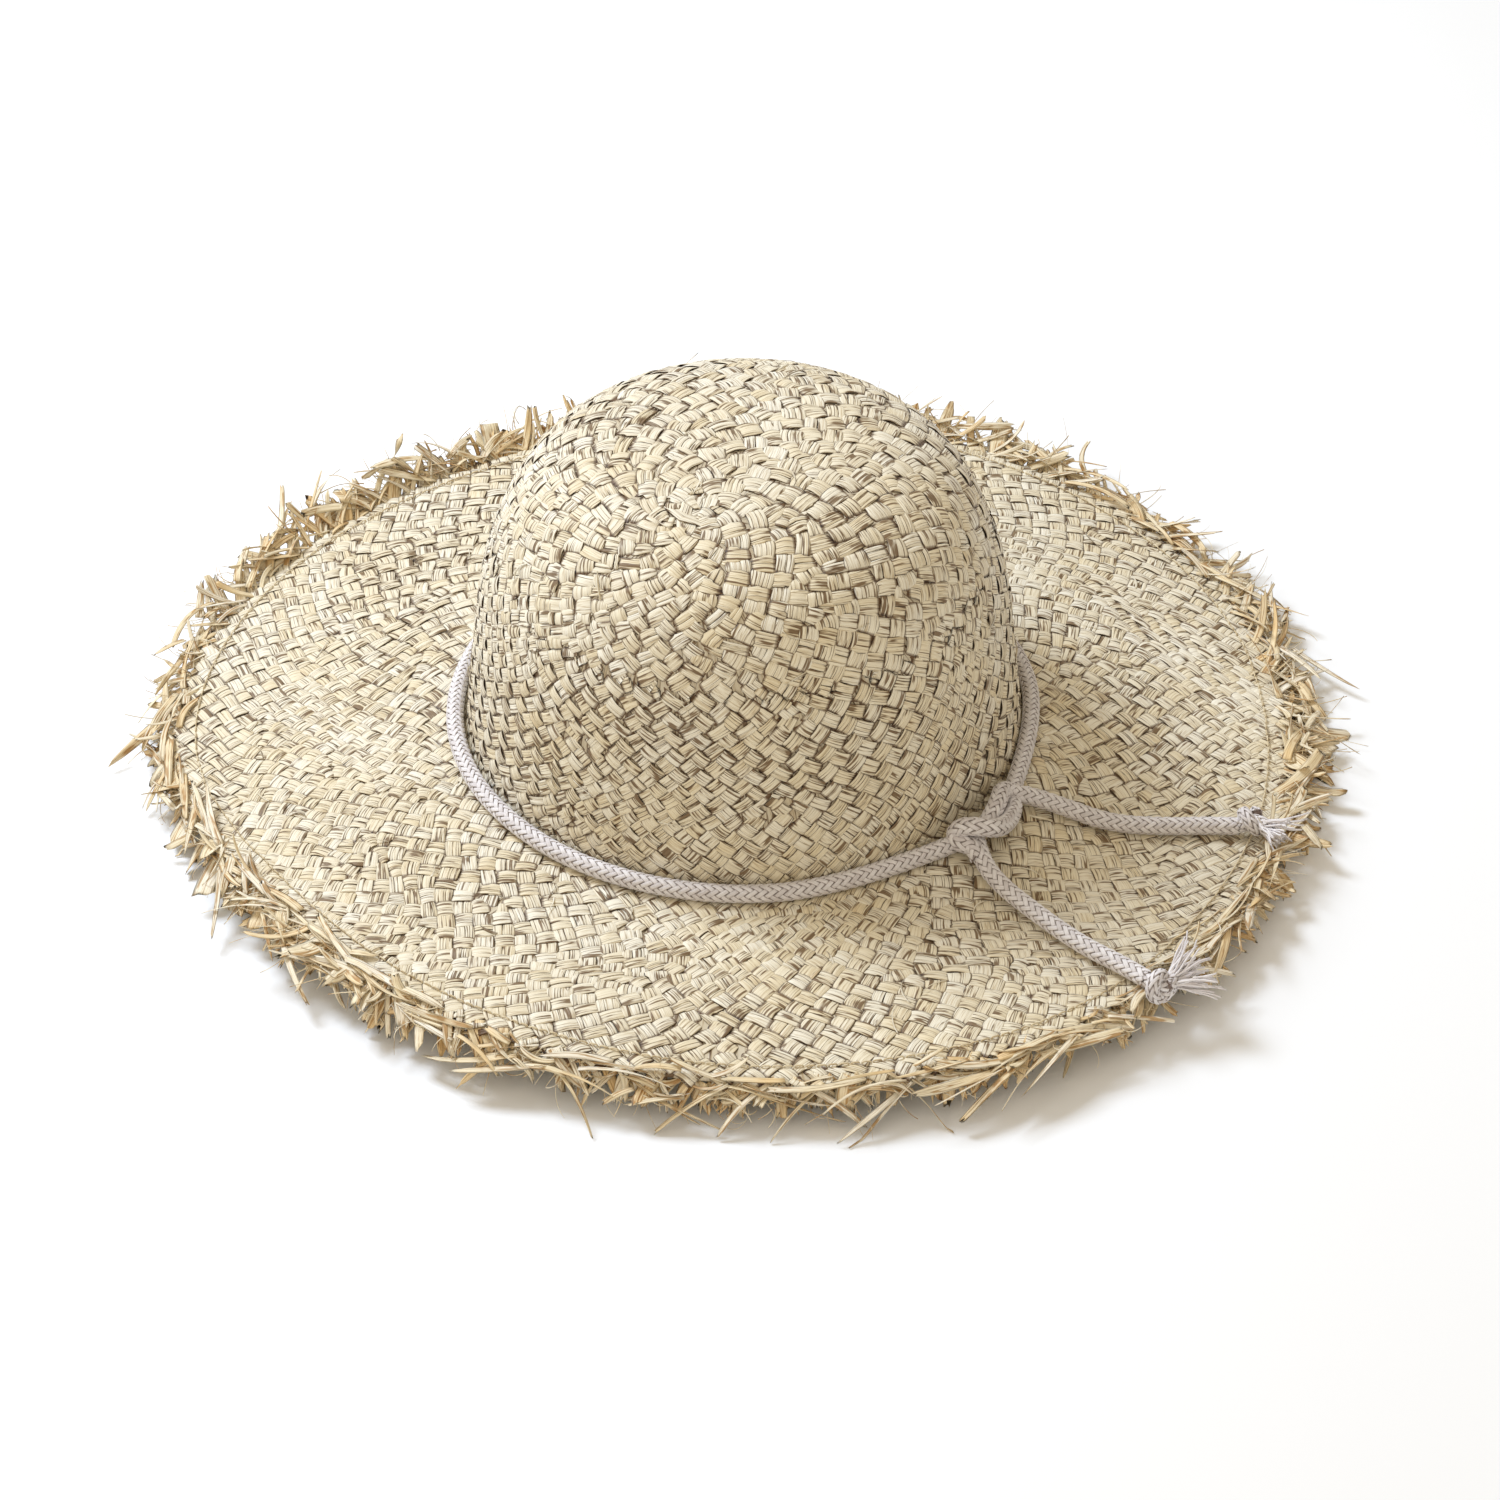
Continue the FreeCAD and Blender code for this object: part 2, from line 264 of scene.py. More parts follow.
def surface(ring, theta):
    """The smooth surface at a ring number of the weave, counted from its start, and an angle."""
    ring = np.asarray(ring, float)
    theta = np.asarray(theta, float)
    # on the crown: the start of the plait lies beside the apex
    inside = np.clip(ring / RINGS_TO_FOOT, 0, 1)
    qx = inside * np.cos(theta) + (1 - inside) * START[0]
    qy = inside * np.sin(theta) + (1 - inside) * START[1]
    reach = np.hypot(qx, qy)
    turn = np.arctan2(qy, qx)
    radius = np.interp(reach * CROWN_LENGTH, PROFILE_ALONG, PROFILE_RADIUS)
    height = np.interp(reach * CROWN_LENGTH, PROFILE_ALONG, PROFILE_HEIGHT)
    x = radius * np.cos(turn)
    y = radius * STRETCH * np.sin(turn)
    # past the crown's foot: round the fillet and out over the brim
    beyond = np.maximum(ring - RINGS_TO_FOOT, 0) * RING_STEP
    quarter = np.clip(beyond / FILLET_LENGTH, 0, 1) * math.pi / 2
    offset = FILLET_REACH * (1 - np.cos(quarter)) + np.maximum(beyond - FILLET_LENGTH, 0)
    bx = (HALF_X + offset) * np.cos(theta)
    by = (HALF_Y + offset) * np.sin(theta)
    bz = brim_height(np.arctan2(by, bx), np.hypot(bx, by))
    fillet = CROWN_FOOT - FILLET_RISE * np.sin(quarter)
    share = np.clip((offset - FILLET_REACH) / (6 * MM), 0, 1)
    bz = np.where(beyond < FILLET_LENGTH, fillet, FOOT * (1 - share) + bz * share)
    on_brim = ring > RINGS_TO_FOOT
    return np.stack([CENTRE[0] + np.where(on_brim, bx, x), CENTRE[1] + np.where(on_brim, by, y),
                     np.where(on_brim, bz, height)], -1)


def wander(ring, theta):
    """A slow, smooth change of direction, so that the strips don't run as perfect spirals."""
    fade = np.clip(ring / 14.0, 0, 1)
    swing = np.sin(2 * theta + 0.13 * ring + 0.6) + 0.7 * np.sin(3 * theta - 0.17 * ring + 2.1)
    swing = swing + 0.5 * np.sin(5 * theta + 0.29 * ring + 4.0)
    return TWIST * fade * swing


def past_edge(points):
    """How far each point lies beyond the end of the weave, in plan."""
    dx = points[..., 0] - CENTRE[0]
    dy = points[..., 1] - CENTRE[1]
    return np.hypot(dx, dy) - by_azimuth(EDGE_RADII, np.arctan2(dy, dx))


# ==== meshes
class Builder:
    """Collects tubes with any cross-section into one mesh."""

    def __init__(self):
        self.vertices = []
        self.strips = []
        self.painted_shades = []
        self.loops = []
        self.totals = []
        self.count = 0

    def tube(self, rings, strip, tint, painted_shade=None, joined=False):
        """Adds one tube. Its ends are capped, or joined to each other.

        rings: (rows, points, 3). strip: (rows, points, 2), the places along and across in mm.
        The last argument says how much painted shade darkens the surface: 1 where it runs into a
        gap between strips, and 0 on its open face.
        """
        rows, points, _ = rings.shape
        total = rows * points
        i = np.arange(rows if joined else rows - 1)[:, None] * points
        n = (i + points) % total
        j = np.arange(points)[None, :]
        k = (j + 1) % points
        quads = np.stack([i + j, i + k, n + k, n + j], -1).reshape(-1)
        first = np.arange(points)
        caps = [] if joined else [first[::-1], total - points + first]
        self.loops += [self.count + part for part in (quads, *caps)]
        self.totals.append(np.array([4] * (len(quads) // 4) + [points] * len(caps)))
        self.vertices.append(rings.reshape(-1, 3))
        self.strips.append(np.column_stack([strip.reshape(-1, 2), np.full(total, tint)]))
        self.painted_shades.append(np.zeros(total) if painted_shade is None else painted_shade.reshape(-1))
        self.count += total

    def finish(self, name, material):
        totals = np.concatenate(self.totals).astype(np.int32)
        mesh = bpy.data.meshes.new(name)
        mesh.vertices.add(self.count)
        mesh.loops.add(int(totals.sum()))
        mesh.polygons.add(len(totals))
        mesh.vertices.foreach_set("co", np.concatenate(self.vertices).astype(np.float32).ravel())
        mesh.loops.foreach_set("vertex_index", np.concatenate(self.loops).astype(np.int32))
        mesh.polygons.foreach_set("loop_start", (np.cumsum(totals) - totals).astype(np.int32))
        mesh.polygons.foreach_set("loop_total", totals)
        layer = mesh.attributes.new("strip", "FLOAT_VECTOR", "POINT")
        layer.data.foreach_set("vector", np.concatenate(self.strips).astype(np.float32).ravel())
        layer = mesh.attributes.new("painted_shade", "FLOAT", "POINT")
        layer.data.foreach_set("value", np.concatenate(self.painted_shades).astype(np.float32))
        mesh.update(calc_edges=True)
        mesh.validate()
        mesh.polygons.foreach_set("use_smooth", np.ones(len(mesh.polygons), bool))
        mesh.materials.append(material)
        piece = bpy.data.objects.new(name, mesh)
        bpy.context.scene.collection.objects.link(piece)
        return piece


def hand_in(piece, body, slot, *nodes):
    """Attaches a piece to the body that it moves with and hides the CAD nodes that it replaces. The
    slot is not used.
    """
    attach(piece, body)
    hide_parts(*nodes)
    return piece


# ==== materials
WHITE = (1.0, 1.0, 1.0)


class Look:
    """A material with one shader, and short ways to add the nodes that feed it."""

    def __init__(self, name):
        self.material = bpy.data.materials.new(name)
        self.material.use_nodes = True
        self.tree = self.material.node_tree
        self.tree.nodes.clear()
        output = self.node("OutputMaterial")
        self.shader = self.node("BsdfPrincipled")
        self.feed(output.inputs["Surface"], self.shader.outputs["BSDF"])

    def node(self, kind):
        return self.tree.nodes.new("ShaderNode" + kind)

    def feed(self, socket, value):
        """Sets a socket to a number or a colour, or links it to another node."""
        if isinstance(value, (int, float)):
            socket.default_value = value
        elif isinstance(value, tuple):
            socket.default_value = (*value, 1.0)
        else:
            self.tree.links.new(value, socket)

    def shade(self, **values):
        """Feeds the shader's sockets, with _ for a space in their names."""
        for name, value in values.items():
            self.feed(self.shader.inputs[name.replace("_", " ")], value)

    def math(self, operation, first, second):
        node = self.node("Math")
        node.operation = operation
        self.feed(node.inputs[0], first)
        self.feed(node.inputs[1], second)
        return node.outputs[0]

    def add(self, first, second):
        return self.math("ADD", first, second)

    def times(self, first, second):
        return self.math("MULTIPLY", first, second)

    def minus(self, first, second):
        return self.math("SUBTRACT", first, second)

    def ramp(self, source, stops):
        node = self.node("ValToRGB")
        elements = node.color_ramp.elements
        while len(elements) < len(stops):
            elements.new(0.5)
        for element, (place, colour) in zip(elements, stops):
            element.position = place
            element.color = (*colour, 1.0)
        self.feed(node.inputs["Fac"], source)
        return node.outputs["Color"]

    def darken(self, factor, colour, by):
        node = self.node("Mix")
        node.data_type = "RGBA"
        node.blend_type = "MULTIPLY"
        self.feed(node.inputs["Factor"], factor)
        self.feed(node.inputs[6], colour)
        self.feed(node.inputs[7], by)
        return node.outputs[2]

    def noise(self, vector, scale, detail, roughness):
        node = self.node("TexNoise")
        self.feed(node.inputs["Scale"], scale)
        self.feed(node.inputs["Detail"], detail)
        self.feed(node.inputs["Roughness"], roughness)
        self.feed(node.inputs["Vector"], vector)
        return node.outputs["Fac"]

    def strip_noise(self, stretch, detail, roughness):
        """Noise on the strip's own places: along it, across it and from strip to strip."""
        node = self.node("VectorMath")
        node.operation = "MULTIPLY"
        node.inputs[1].default_value = stretch
        self.feed(node.inputs[0], self.attribute("strip", "Vector"))
        return self.noise(node.outputs[0], 1.0, detail, roughness)

    def attribute(self, name, output):
        node = self.node("Attribute")
        node.attribute_name = name
        return node.outputs[output]

    def tint(self):
        node = self.node("SeparateXYZ")
        self.feed(node.inputs[0], self.attribute("strip", "Vector"))
        return node.outputs["Z"]

    def bump(self, height, strength, distance):
        node = self.node("Bump")
        self.feed(node.inputs["Strength"], strength)
        self.feed(node.inputs["Distance"], distance)
        self.feed(node.inputs["Height"], height)
        self.shade(Normal=node.outputs["Normal"])


def straw_material(name, tones, line_colour, painted_shade_colour):
    """Straw: a tone for each strip, dark lines and fine streaks along its fibres, painted shade in
    the creases between strips.
    """
    look = Look(name)
    streaks = look.strip_noise((0.10, 2.2, 40.0), 3.0, 0.6)
    lines = look.strip_noise((0.030, 0.62, 60.0), 1.0, 0.5)
    fine = look.strip_noise((0.06, 1.5, 80.0), 1.0, 0.5)
    lengths = look.strip_noise((0.05, 0.16, 40.0), 2.0, 0.5)
    breaks = look.strip_noise((0.22, 0.3, 50.0), 1.0, 0.5)
    blotch = look.noise(look.node("TexCoord").outputs["Object"], 16.0, 2.0, 0.5)
    tone = look.add(look.times(look.tint(), 0.42), look.times(lengths, 0.62))
    tone = look.minus(look.add(tone, look.times(blotch, 0.30)), 0.30)
    shade = look.ramp(streaks, [(0.28, (0.74, 0.66, 0.52)), (0.47, WHITE), (0.80, WHITE)])
    colour = look.darken(0.65, look.ramp(tone, tones), shade)
    # lines that run along the fibres, and that stop and start again
    ridge = look.math("ABSOLUTE", look.minus(lines, 0.5), 0.0)
    width = look.times(look.minus(breaks, 0.46), 0.13)
    deep = look.ramp(look.minus(ridge, width), [(0.004, line_colour), (0.030, WHITE)])
    colour = look.darken(0.92, colour, deep)
    thin = look.math("ABSOLUTE", look.minus(fine, 0.5), 0.0)
    faint = look.ramp(thin, [(0.010, (0.56, 0.45, 0.30)), (0.05, WHITE)])
    colour = look.darken(0.55, colour, faint)
    # painted shade in the creases and gaps between strips and along their edges
    painted_shade = look.attribute("painted_shade", "Fac")
    gap = look.ramp(painted_shade, [(0.50, WHITE), (0.90, painted_shade_colour)])
    look.shade(Base_Color=look.darken(1.0, colour, gap),
               Roughness=look.add(look.times(streaks, 0.25), 0.40),
               Specular_IOR_Level=0.45, Sheen_Weight=0.1, Sheen_Roughness=0.5)
    grooves = look.times(look.math("MINIMUM", ridge, 0.06), 12.0)
    look.bump(look.add(look.add(streaks, grooves), look.times(fine, 0.6)), 0.7, 0.3 * MM)
    return look.material


def cotton_material(name, light, shade):
    """Braided cotton: soft, matt, with fine yarn lines along each strand and painted shade in the
    gaps between strands.
    """
    look = Look(name)
    yarn = look.strip_noise((0.7, 5.0, 40.0), 3.0, 0.6)
    fuzz = look.strip_noise((2.5, 9.0, 40.0), 3.0, 0.7)
    tone = look.add(look.times(yarn, 0.7), look.times(look.tint(), 0.3))
    colour = look.ramp(tone, [(0.28, shade), (0.62, light)])
    # painted shade in the gaps between strands, along their edges and on the core
    gap = look.ramp(look.attribute("painted_shade", "Fac"), [(0.30, WHITE), (1.0, (0.30, 0.24, 0.21))])
    look.shade(Base_Color=look.darken(1.0, colour, gap), Roughness=0.88,
               Specular_IOR_Level=0.2, Sheen_Weight=0.35, Sheen_Roughness=0.4)
    look.bump(look.add(yarn, fuzz), 0.6, 0.2 * MM)
    return look.material


STRAW_TONES = [
    (0.10, (0.88, 0.84, 0.72)), (0.40, (0.84, 0.77, 0.60)), (0.66, (0.80, 0.70, 0.49)),
    (0.86, (0.75, 0.60, 0.38)), (0.99, (0.60, 0.42, 0.24)),
]
FRINGE_TONES = [
    (0.10, (0.92, 0.87, 0.75)), (0.34, (0.87, 0.76, 0.53)), (0.56, (0.84, 0.62, 0.32)),
    (0.88, (0.66, 0.37, 0.14)),
]
# the last colour of each straw is the painted shade in the creases between strips
STRAW = straw_material("straw", STRAW_TONES, (0.20, 0.12, 0.05), (0.16, 0.09, 0.04))
FRINGE = straw_material("fringe_straw", FRINGE_TONES, (0.56, 0.38, 0.20), (0.50, 0.32, 0.15))
COTTON = cotton_material("cotton", (0.94, 0.91, 0.92), (0.72, 0.67, 0.67))


# ==== strands
class Strand:
    """One strip's path through the weave: ring numbers, angles and the angle to its neighbours."""

    def __init__(self, family, spot):
        self.family = family
        self.at = spot
        self.ring = []
        self.theta = []
        self.gap = []


CROWN_ZONES = [1, 2, 4, 6, 8, 10, 13, 16, 20, 24, 29, 34]    # rings where strips may be added
BRIM_ZONE = 3                            # rings from one such ring to the next on the brim
BRIM_RINGS = 36                          # more rings than the brim is wide


def ring_girth(ring):
    """The length round the hat of one ring of the weave."""
    return walk(surface(ring, np.linspace(0, math.tau, 73)))[-1]


def angle_between(first, second):
    """The angle from the second to the first, the short way round."""
    return np.angle(np.exp(1j * (first - second)))


def lay_out_strands():
    """Winds both families out ring by ring, and adds pairs of strips where the girth grows."""
    last_ring = RINGS_TO_FOOT + BRIM_RINGS
    starts = [z for z in CROWN_ZONES if z < RINGS_TO_FOOT - 3]
    starts += list(range(RINGS_TO_FOOT - 1, last_ring, BRIM_ZONE)) + [last_ring]
    strands = []
    spots = np.array([])
    for zone, (start, end) in enumerate(zip(starts, starts[1:])):
        middle = (start + end) / 2
        pitch = CROWN_PITCH if middle < RINGS_TO_FOOT else BRIM_PITCH
        wanted = max(3, int(round(ring_girth(middle) / (math.sqrt(2) * pitch))), len(spots))
        fresh = wanted - len(spots)
        if len(spots) == 0:
            spots = new_spots = math.tau * np.arange(wanted) / wanted
        else:
            gaps = np.append(spots[1:], spots[0] + math.tau) - spots
            order = (np.arange(fresh) + rng.uniform(0.15, 0.85, fresh)) / max(fresh, 1)
            chosen = np.unique((np.floor((order + 0.618 * zone) % 1.0 * len(spots))).astype(int))
            new_spots = spots[chosen] + gaps[chosen] / 2
            spots = np.sort(np.concatenate([spots, new_spots]) % math.tau)
        count = len(spots)
        even = math.tau * np.arange(count) / count
        even = even + np.angle(np.exp(1j * (spots - even)).mean())
        shifts = angle_between(even, spots)
        widths = angle_between(np.roll(spots, -1), np.roll(spots, 1)) / 2
        samples = np.linspace(start, end, (end - start) * STEPS + 1)
        t = (samples - start) / (end - start)
        ease = t * t * (3 - 2 * t)
        turned = (samples - start) * math.pi / count
        strands += [Strand(family, spot) for family in (1, -1) for spot in new_spots]
        for strand in strands:
            index = int(np.argmin(np.abs(angle_between(spots, strand.at))))
            theta = strand.at + shifts[index] * ease + strand.family * turned
            gap = widths[index] * (1 - ease) + math.tau / count * ease
            keep = slice(1 if strand.ring else 0, None)
            strand.ring += list(samples[keep])
            strand.theta += list(theta[keep])
            strand.gap += list(gap[keep])
            strand.at = theta[-1]
        spots = np.sort((spots + shifts + turned[-1]) % math.tau)
    return strands


def frame_on_surface(ring, theta):
    """Points on the surface along a path, with its direction, its normal and the sideways one."""
    nudge = 1e-3
    turned = theta + wander(ring, theta)
    points = surface(ring, turned)
    around = surface(ring, turned + nudge) - surface(ring, turned - nudge)
    inner = np.maximum(ring - nudge * 40, 0)
    normal = unit(np.cross(around, surface(ring + nudge * 40, turned) - surface(inner, turned)))
    normal = np.where(normal[:, 2:3] < -0.35, -normal, normal)
    along = tangents(points)
    side = unit(np.cross(normal, along))
    spread = np.abs((around * side).sum(-1)) / (2 * nudge)
    return points, along, normal, side, spread


STRIP_SECTION = np.array([
    (-1.0, -0.35), (-0.82, 0.32), (-0.3, 0.52), (0.3, 0.50), (0.82, 0.32), (1.0, -0.35),
    (0.80, -0.60), (-0.80, -0.60),
])
SECTION_TOP = np.array([0, 1, 1, 1, 1, 0, 0, 0], bool)
# the two edges of a strip's section, which get painted shade
SECTION_EDGE = np.array([1, 0, 0, 0, 0, 1, 0, 0], float)
SPLITS = {1: 0.52, 2: 0.33, 3: 0.15}     # how often a strip is one, two or three fibres wide
TINT_SHIFT = 700                         # mm along the straw's pattern between strips of two tints
UNDER_LAYER_AZIMUTHS = math.tau * np.arange(150) / 150


def waver(walked, lengths):
    """A smooth random line along a strip, from -1 to 1, of waves of the given lengths in mm."""
    total = np.zeros_like(walked)
    for length in lengths:
        wave = length * rng.uniform(0.8, 1.25)
        total += np.sin(math.tau * walked / wave + rng.uniform(0, math.tau))
    return total / len(lengths)


def over_under(ring, family):
    """A strip's wave through the crossings: up at even rings in one family, odd in the other."""
    wave = np.cos(math.pi * ring) * family
    return np.sign(wave) * np.abs(wave) ** 0.75


def split_bounds():
    """Where a strip is split along its length, as shares of its width."""
    count = int(rng.choice(list(SPLITS), p=list(SPLITS.values())))
    cuts = np.linspace(-1, 1, count + 1)
    cuts[1:-1] += rng.uniform(-0.25, 0.25, count - 1)
    return list(zip(cuts, cuts[1:]))


def ribbon(builder, strand, first, last, tint, bounds, fill):
    """Adds one strip, split into its fibres, between two of its samples."""
    ring, theta, gap = (np.array(values[first:last])
                        for values in (strand.ring, strand.theta, strand.gap))
    points, along, normal, side, spread = frame_on_surface(ring, theta)
    wave = over_under(ring, strand.family)
    half = np.clip(0.5 * spread * gap, 0.9 * MM, 3.9 * MM) * fill * (1 + 0.05 * wave)
    lift = WAVE * wave
    if strand.ring[0] > 2:
        # a strip that starts inside the weave comes up from under it
        tuck = np.clip((ring - strand.ring[0]) / 1.5, 0, 1)
        lift = lift - (1 - tuck) * 0.5 * MM
        half = half * (0.45 + 0.55 * tuck)
    walked = walk(points) / MM
    # painted shade on the top face where the strip dips under the other family, on the under face
    # where it rises over it, and along its edges
    dip_top = np.clip((0.25 - wave) / 0.36, 0, 1)[:, None]
    dip_under = np.clip((0.25 + wave) / 0.36, 0, 1)[:, None]
    painted_shade = np.maximum(np.where(SECTION_TOP, dip_top, dip_under), SECTION_EDGE)
    for left, right in bounds:
        sway = half * ((left + right) / 2 + 0.045 * waver(walked, (13, 31)))
        width = half * (right - left) / 2 * (1.03 + 0.07 * waver(walked, (9, 23)))
        rise = lift + 0.06 * MM * waver(walked, (7, 17, 40))
        roll = 0.08 * waver(walked, (11, 27)) - 0.05 * (left + right)
        centre = points + normal * rise[:, None] + side * sway[:, None]
        rings = swept(centre, *rolled(side, normal, roll), STRIP_SECTION, width[:, None],
                      STRIP_THICKNESS)
        across = sway[:, None] + STRIP_SECTION[:, 0] * width[:, None]
        strip = strip_places(walked[:, None] + tint * TINT_SHIFT, across / MM)
        builder.tube(rings, strip, float(np.clip(tint + rng.normal(0, 0.12), 0, 1)), painted_shade)
    return points + normal * lift[:, None], along, normal, side, half


def add_start(builder):
    """Short strips crossed over the start of the plait."""
    for number, degrees in enumerate((20, 82, 141)):
        angle = math.radians(degrees)
        ring = np.abs(np.linspace(-2.3, 2.3, 21))
        theta = angle + math.pi * (np.arange(21) > 10)
        points = surface(ring, theta)
        along = tangents(points)
        side = unit(np.cross(UP, along))
        normal = unit(np.cross(along, side))
        arch = np.sin(math.pi * np.linspace(0, 1, len(points)))
        rise = (-0.9 + (1.0 + 0.28 * number) * arch ** 0.7) * MM
        half = ((1.5 + 0.7 * arch) * MM)[:, None]
        rings = swept(points + normal * rise[:, None], side, normal, STRIP_SECTION, half,
                      STRIP_THICKNESS)
        strip = strip_places(ring[:, None] * 3.0 + 50 * number, STRIP_SECTION[:, 0] * half / MM)
        # painted shade towards the ends, where the short strips dip under the plait, and along
        # their edges
        painted_shade = np.maximum(np.clip(1.4 - 2.2 * arch, 0, 1)[:, None], SECTION_EDGE)
        builder.tube(rings, strip, 0.35, painted_shade)


def add_under_layer(builder, first, last):
    """The straw between the two faces of the plait, seen only where strips leave a gap."""
    share = np.linspace(0, 1, 44)[:, None]
    rows = surface(first + (last - first) * share, UNDER_LAYER_AZIMUTHS)
    rows[..., 2] -= 0.10 * MM
    under = rows[::-1].copy()
    under[..., 2] -= 0.12 * MM
    rings = np.concatenate([rows, under])
    walked = np.linalg.norm(rings - rings[0:1], axis=-1) / MM
    strip = strip_places(walked, np.arange(len(UNDER_LAYER_AZIMUTHS)) * 1.7)
    # painted shade over the whole under layer
    builder.tube(rings, strip, 0.8, np.full(rings.shape[:2], 0.62))


def weave_edge_ring(theta):
    """The ring number just inside the end of the weave, for each angle."""
    ring = np.linspace(RINGS_TO_FOOT + 8, RINGS_TO_FOOT + BRIM_RINGS, 160)
    beyond = past_edge(surface(ring[:, None], theta))
    return np.array([np.interp(-1.0 * MM, column, ring) for column in beyond.T])


def build_weave():
    """Builds the crown's and the brim's strips, and returns where the strips end at the edge."""
    crown = [Builder() for _ in range(4)]
    brim = [Builder() for _ in range(6)]
    ends = []
    for index, strand in enumerate(lay_out_strands()):
        ring = np.array(strand.ring)
        theta = np.array(strand.theta)
        beyond = past_edge(surface(ring, theta + wander(ring, theta)))
        outside = np.nonzero((beyond > -0.5 * MM) & (ring > RINGS_TO_FOOT + 5))[0]
        stop = int(outside[0]) if len(outside) else len(ring) - 1
        foot = int(np.searchsorted(ring, RINGS_TO_FOOT + 1e-9))
        tint = rng.uniform(0, 1)
        bounds = split_bounds()
        fill = STRIP_FILL * rng.uniform(0.93, 1.03)
        if foot > 2 and ring[0] < RINGS_TO_FOOT - 0.5:
            ribbon(crown[index % len(crown)], strand, 0, foot, tint, bounds, fill)
        begin = max(foot - 1, 0)
        if stop - begin > 3:
            path = ribbon(brim[index % len(brim)], strand, begin, stop + 1, tint, bounds, fill)
            ends.append((tint, *(values[-1] for values in path)))
    add_start(crown[0])
    add_under_layer(crown[1], 0.02, RINGS_TO_FOOT)
    add_under_layer(brim[1], RINGS_TO_FOOT, weave_edge_ring(UNDER_LAYER_AZIMUTHS))
    add_flyaways(crown[2], 2, RINGS_TO_FOOT - 3, 46)
    add_flyaways(brim[2], RINGS_TO_FOOT + 3, RINGS_TO_FOOT + 20, 60)
    for node, builders in (("crown", crown), ("brim", brim)):
        for letter, builder in zip("abcdef", builders):
            hand_in(builder.finish(node + "_weave_" + letter, STRAW), "hat", "straw", node)
    return ends


# ==== fringe
def fringe_limits():
    """The fringe's outer radius and the surface's slope across it, by azimuth."""
    tree = surface_tree("brim_fringe")
    outer = np.zeros(GRID_AZIMUTHS)
    slope = np.zeros(GRID_AZIMUTHS)
    for i, edge in enumerate(EDGE_RADII):
        azimuth = math.tau * i / GRID_AZIMUTHS
        outer[i] = outer_limit(tree, azimuth, edge + 1 * MM, edge + 30 * MM, 14)
        near = brim_height(azimuth, edge + 2 * MM)
        far = brim_height(azimuth, outer[i] - 2 * MM)
        slope[i] = (far - near) / max(outer[i] - edge - 4 * MM, 2 * MM)
    return outer, slope


FRINGE_RADII, FRINGE_SLOPES = fringe_limits()


FRINGE_SECTION = np.array([
    (-1.0, -0.2), (-0.5, 0.42), (0.05, 0.05), (0.5, 0.45), (1.0, -0.2), (0.3, -0.5), (-0.4, -0.3),
])
HAIR_SECTION = np.array([(1.0, 0.0), (-0.5, 0.87), (-0.5, -0.87)])
FLOOR_GAP = 0.5 * MM


def loose_path(start, heading, length, bend, curl, lift, rows):
    """A strip's path past the edge: it turns by bend, follows the fringe's slope and curls."""
    points = [np.array(start)]
    step = length / (rows - 1)
    for row in range(1, rows):
        heading += bend / (rows - 1)
        here = points[-1]
        azimuth = math.atan2(here[1] - CENTRE[1], here[0] - CENTRE[0])
        slope = by_azimuth(FRINGE_SLOPES, azimuth) * math.cos(heading - azimuth)
        slope += curl * row / (rows - 1) + lift
        flat = step / math.sqrt(1 + slope * slope)
        place = here + np.array([math.cos(heading), math.sin(heading), slope]) * flat
        place[2] = max(place[2], FLOOR_GAP)
        points.append(place)
    return np.array(points)


def loose_strip(builder, points, half, twist, tint, section, taper, thickness):
    """Adds one tapering strip along a path, turned about its own line by twist at its tip."""
    t = np.linspace(0, 1, len(points))
    along = tangents(points)
    side = unit(np.cross(UP, along))
    normal = unit(np.cross(along, side))
    width = half * (1 - t ** taper[0] * (1 - taper[1]))
    rings = swept(points, *rolled(side, normal, twist * t), section, width[:, None], thickness)
    torn = rng.uniform(-1.0, 0.6, len(section)) * min(1.6 * half, 2.4 * MM)
    rings[-1] += along[-1] * torn[:, None]
    rings[-2] += along[-2] * torn[:, None] * 0.35
    rings[..., 2] = np.maximum(rings[..., 2], 0.2 * MM)
    along_strip = walk(points)[:, None] / MM + tint * TINT_SHIFT
    builder.tube(rings, strip_places(along_strip, section[:, 0] * half / MM), tint)


def add_flyaways(builder, first, last, count):
    """Torn fibres that stand off the plait in short curls."""
    rows = 9
    for _ in range(count):
        ring = math.sqrt(rng.uniform((first / last) ** 2, 1)) * last
        theta = rng.uniform(0, math.tau)
        points = [surface(ring, theta)]
        heading = rng.uniform(0, math.tau)
        turn = rng.normal(0, 0.9)
        step = rng.uniform(4, 11) * MM / (rows - 1)
        for _ in range(1, rows):
            heading += turn / rows
            ring = max(ring + math.cos(heading) * step / RING_STEP, 0.5)
            across = surface(ring, theta + 1e-3) - surface(ring, theta)
            theta += math.sin(heading) * step / max(np.linalg.norm(across) / 1e-3, 5 * MM)
            points.append(surface(ring, theta))
        points = np.array(points)
        middle = np.array([CENTRE[0], CENTRE[1], FOOT - 20 * MM])
        off = unit(points - middle) if last <= RINGS_TO_FOOT else UP
        t = np.linspace(0, 1, rows)[:, None]
        stand = 0.5 + rng.uniform(0.2, 1.6) * np.sin(math.pi * t * rng.uniform(0.5, 0.95))
        width = rng.uniform(0.16, 0.42) * MM
        loose_strip(builder, points + off * stand * MM, width, rng.normal(0, 1.5),
                    rng.uniform(0, 0.6), FRINGE_SECTION, (3.0, 0.3), 0.16 * MM)


def fringe_start(azimuth, inset):
    """A point on the weave a little inside or outside its edge."""
    radius = by_azimuth(EDGE_RADII, azimuth) + inset
    return polar(azimuth, radius, brim_height(azimuth, radius))


def fringe_reach(azimuth):
    return by_azimuth(FRINGE_RADII, azimuth) - by_azimuth(EDGE_RADII, azimuth)


ENDS = build_weave()


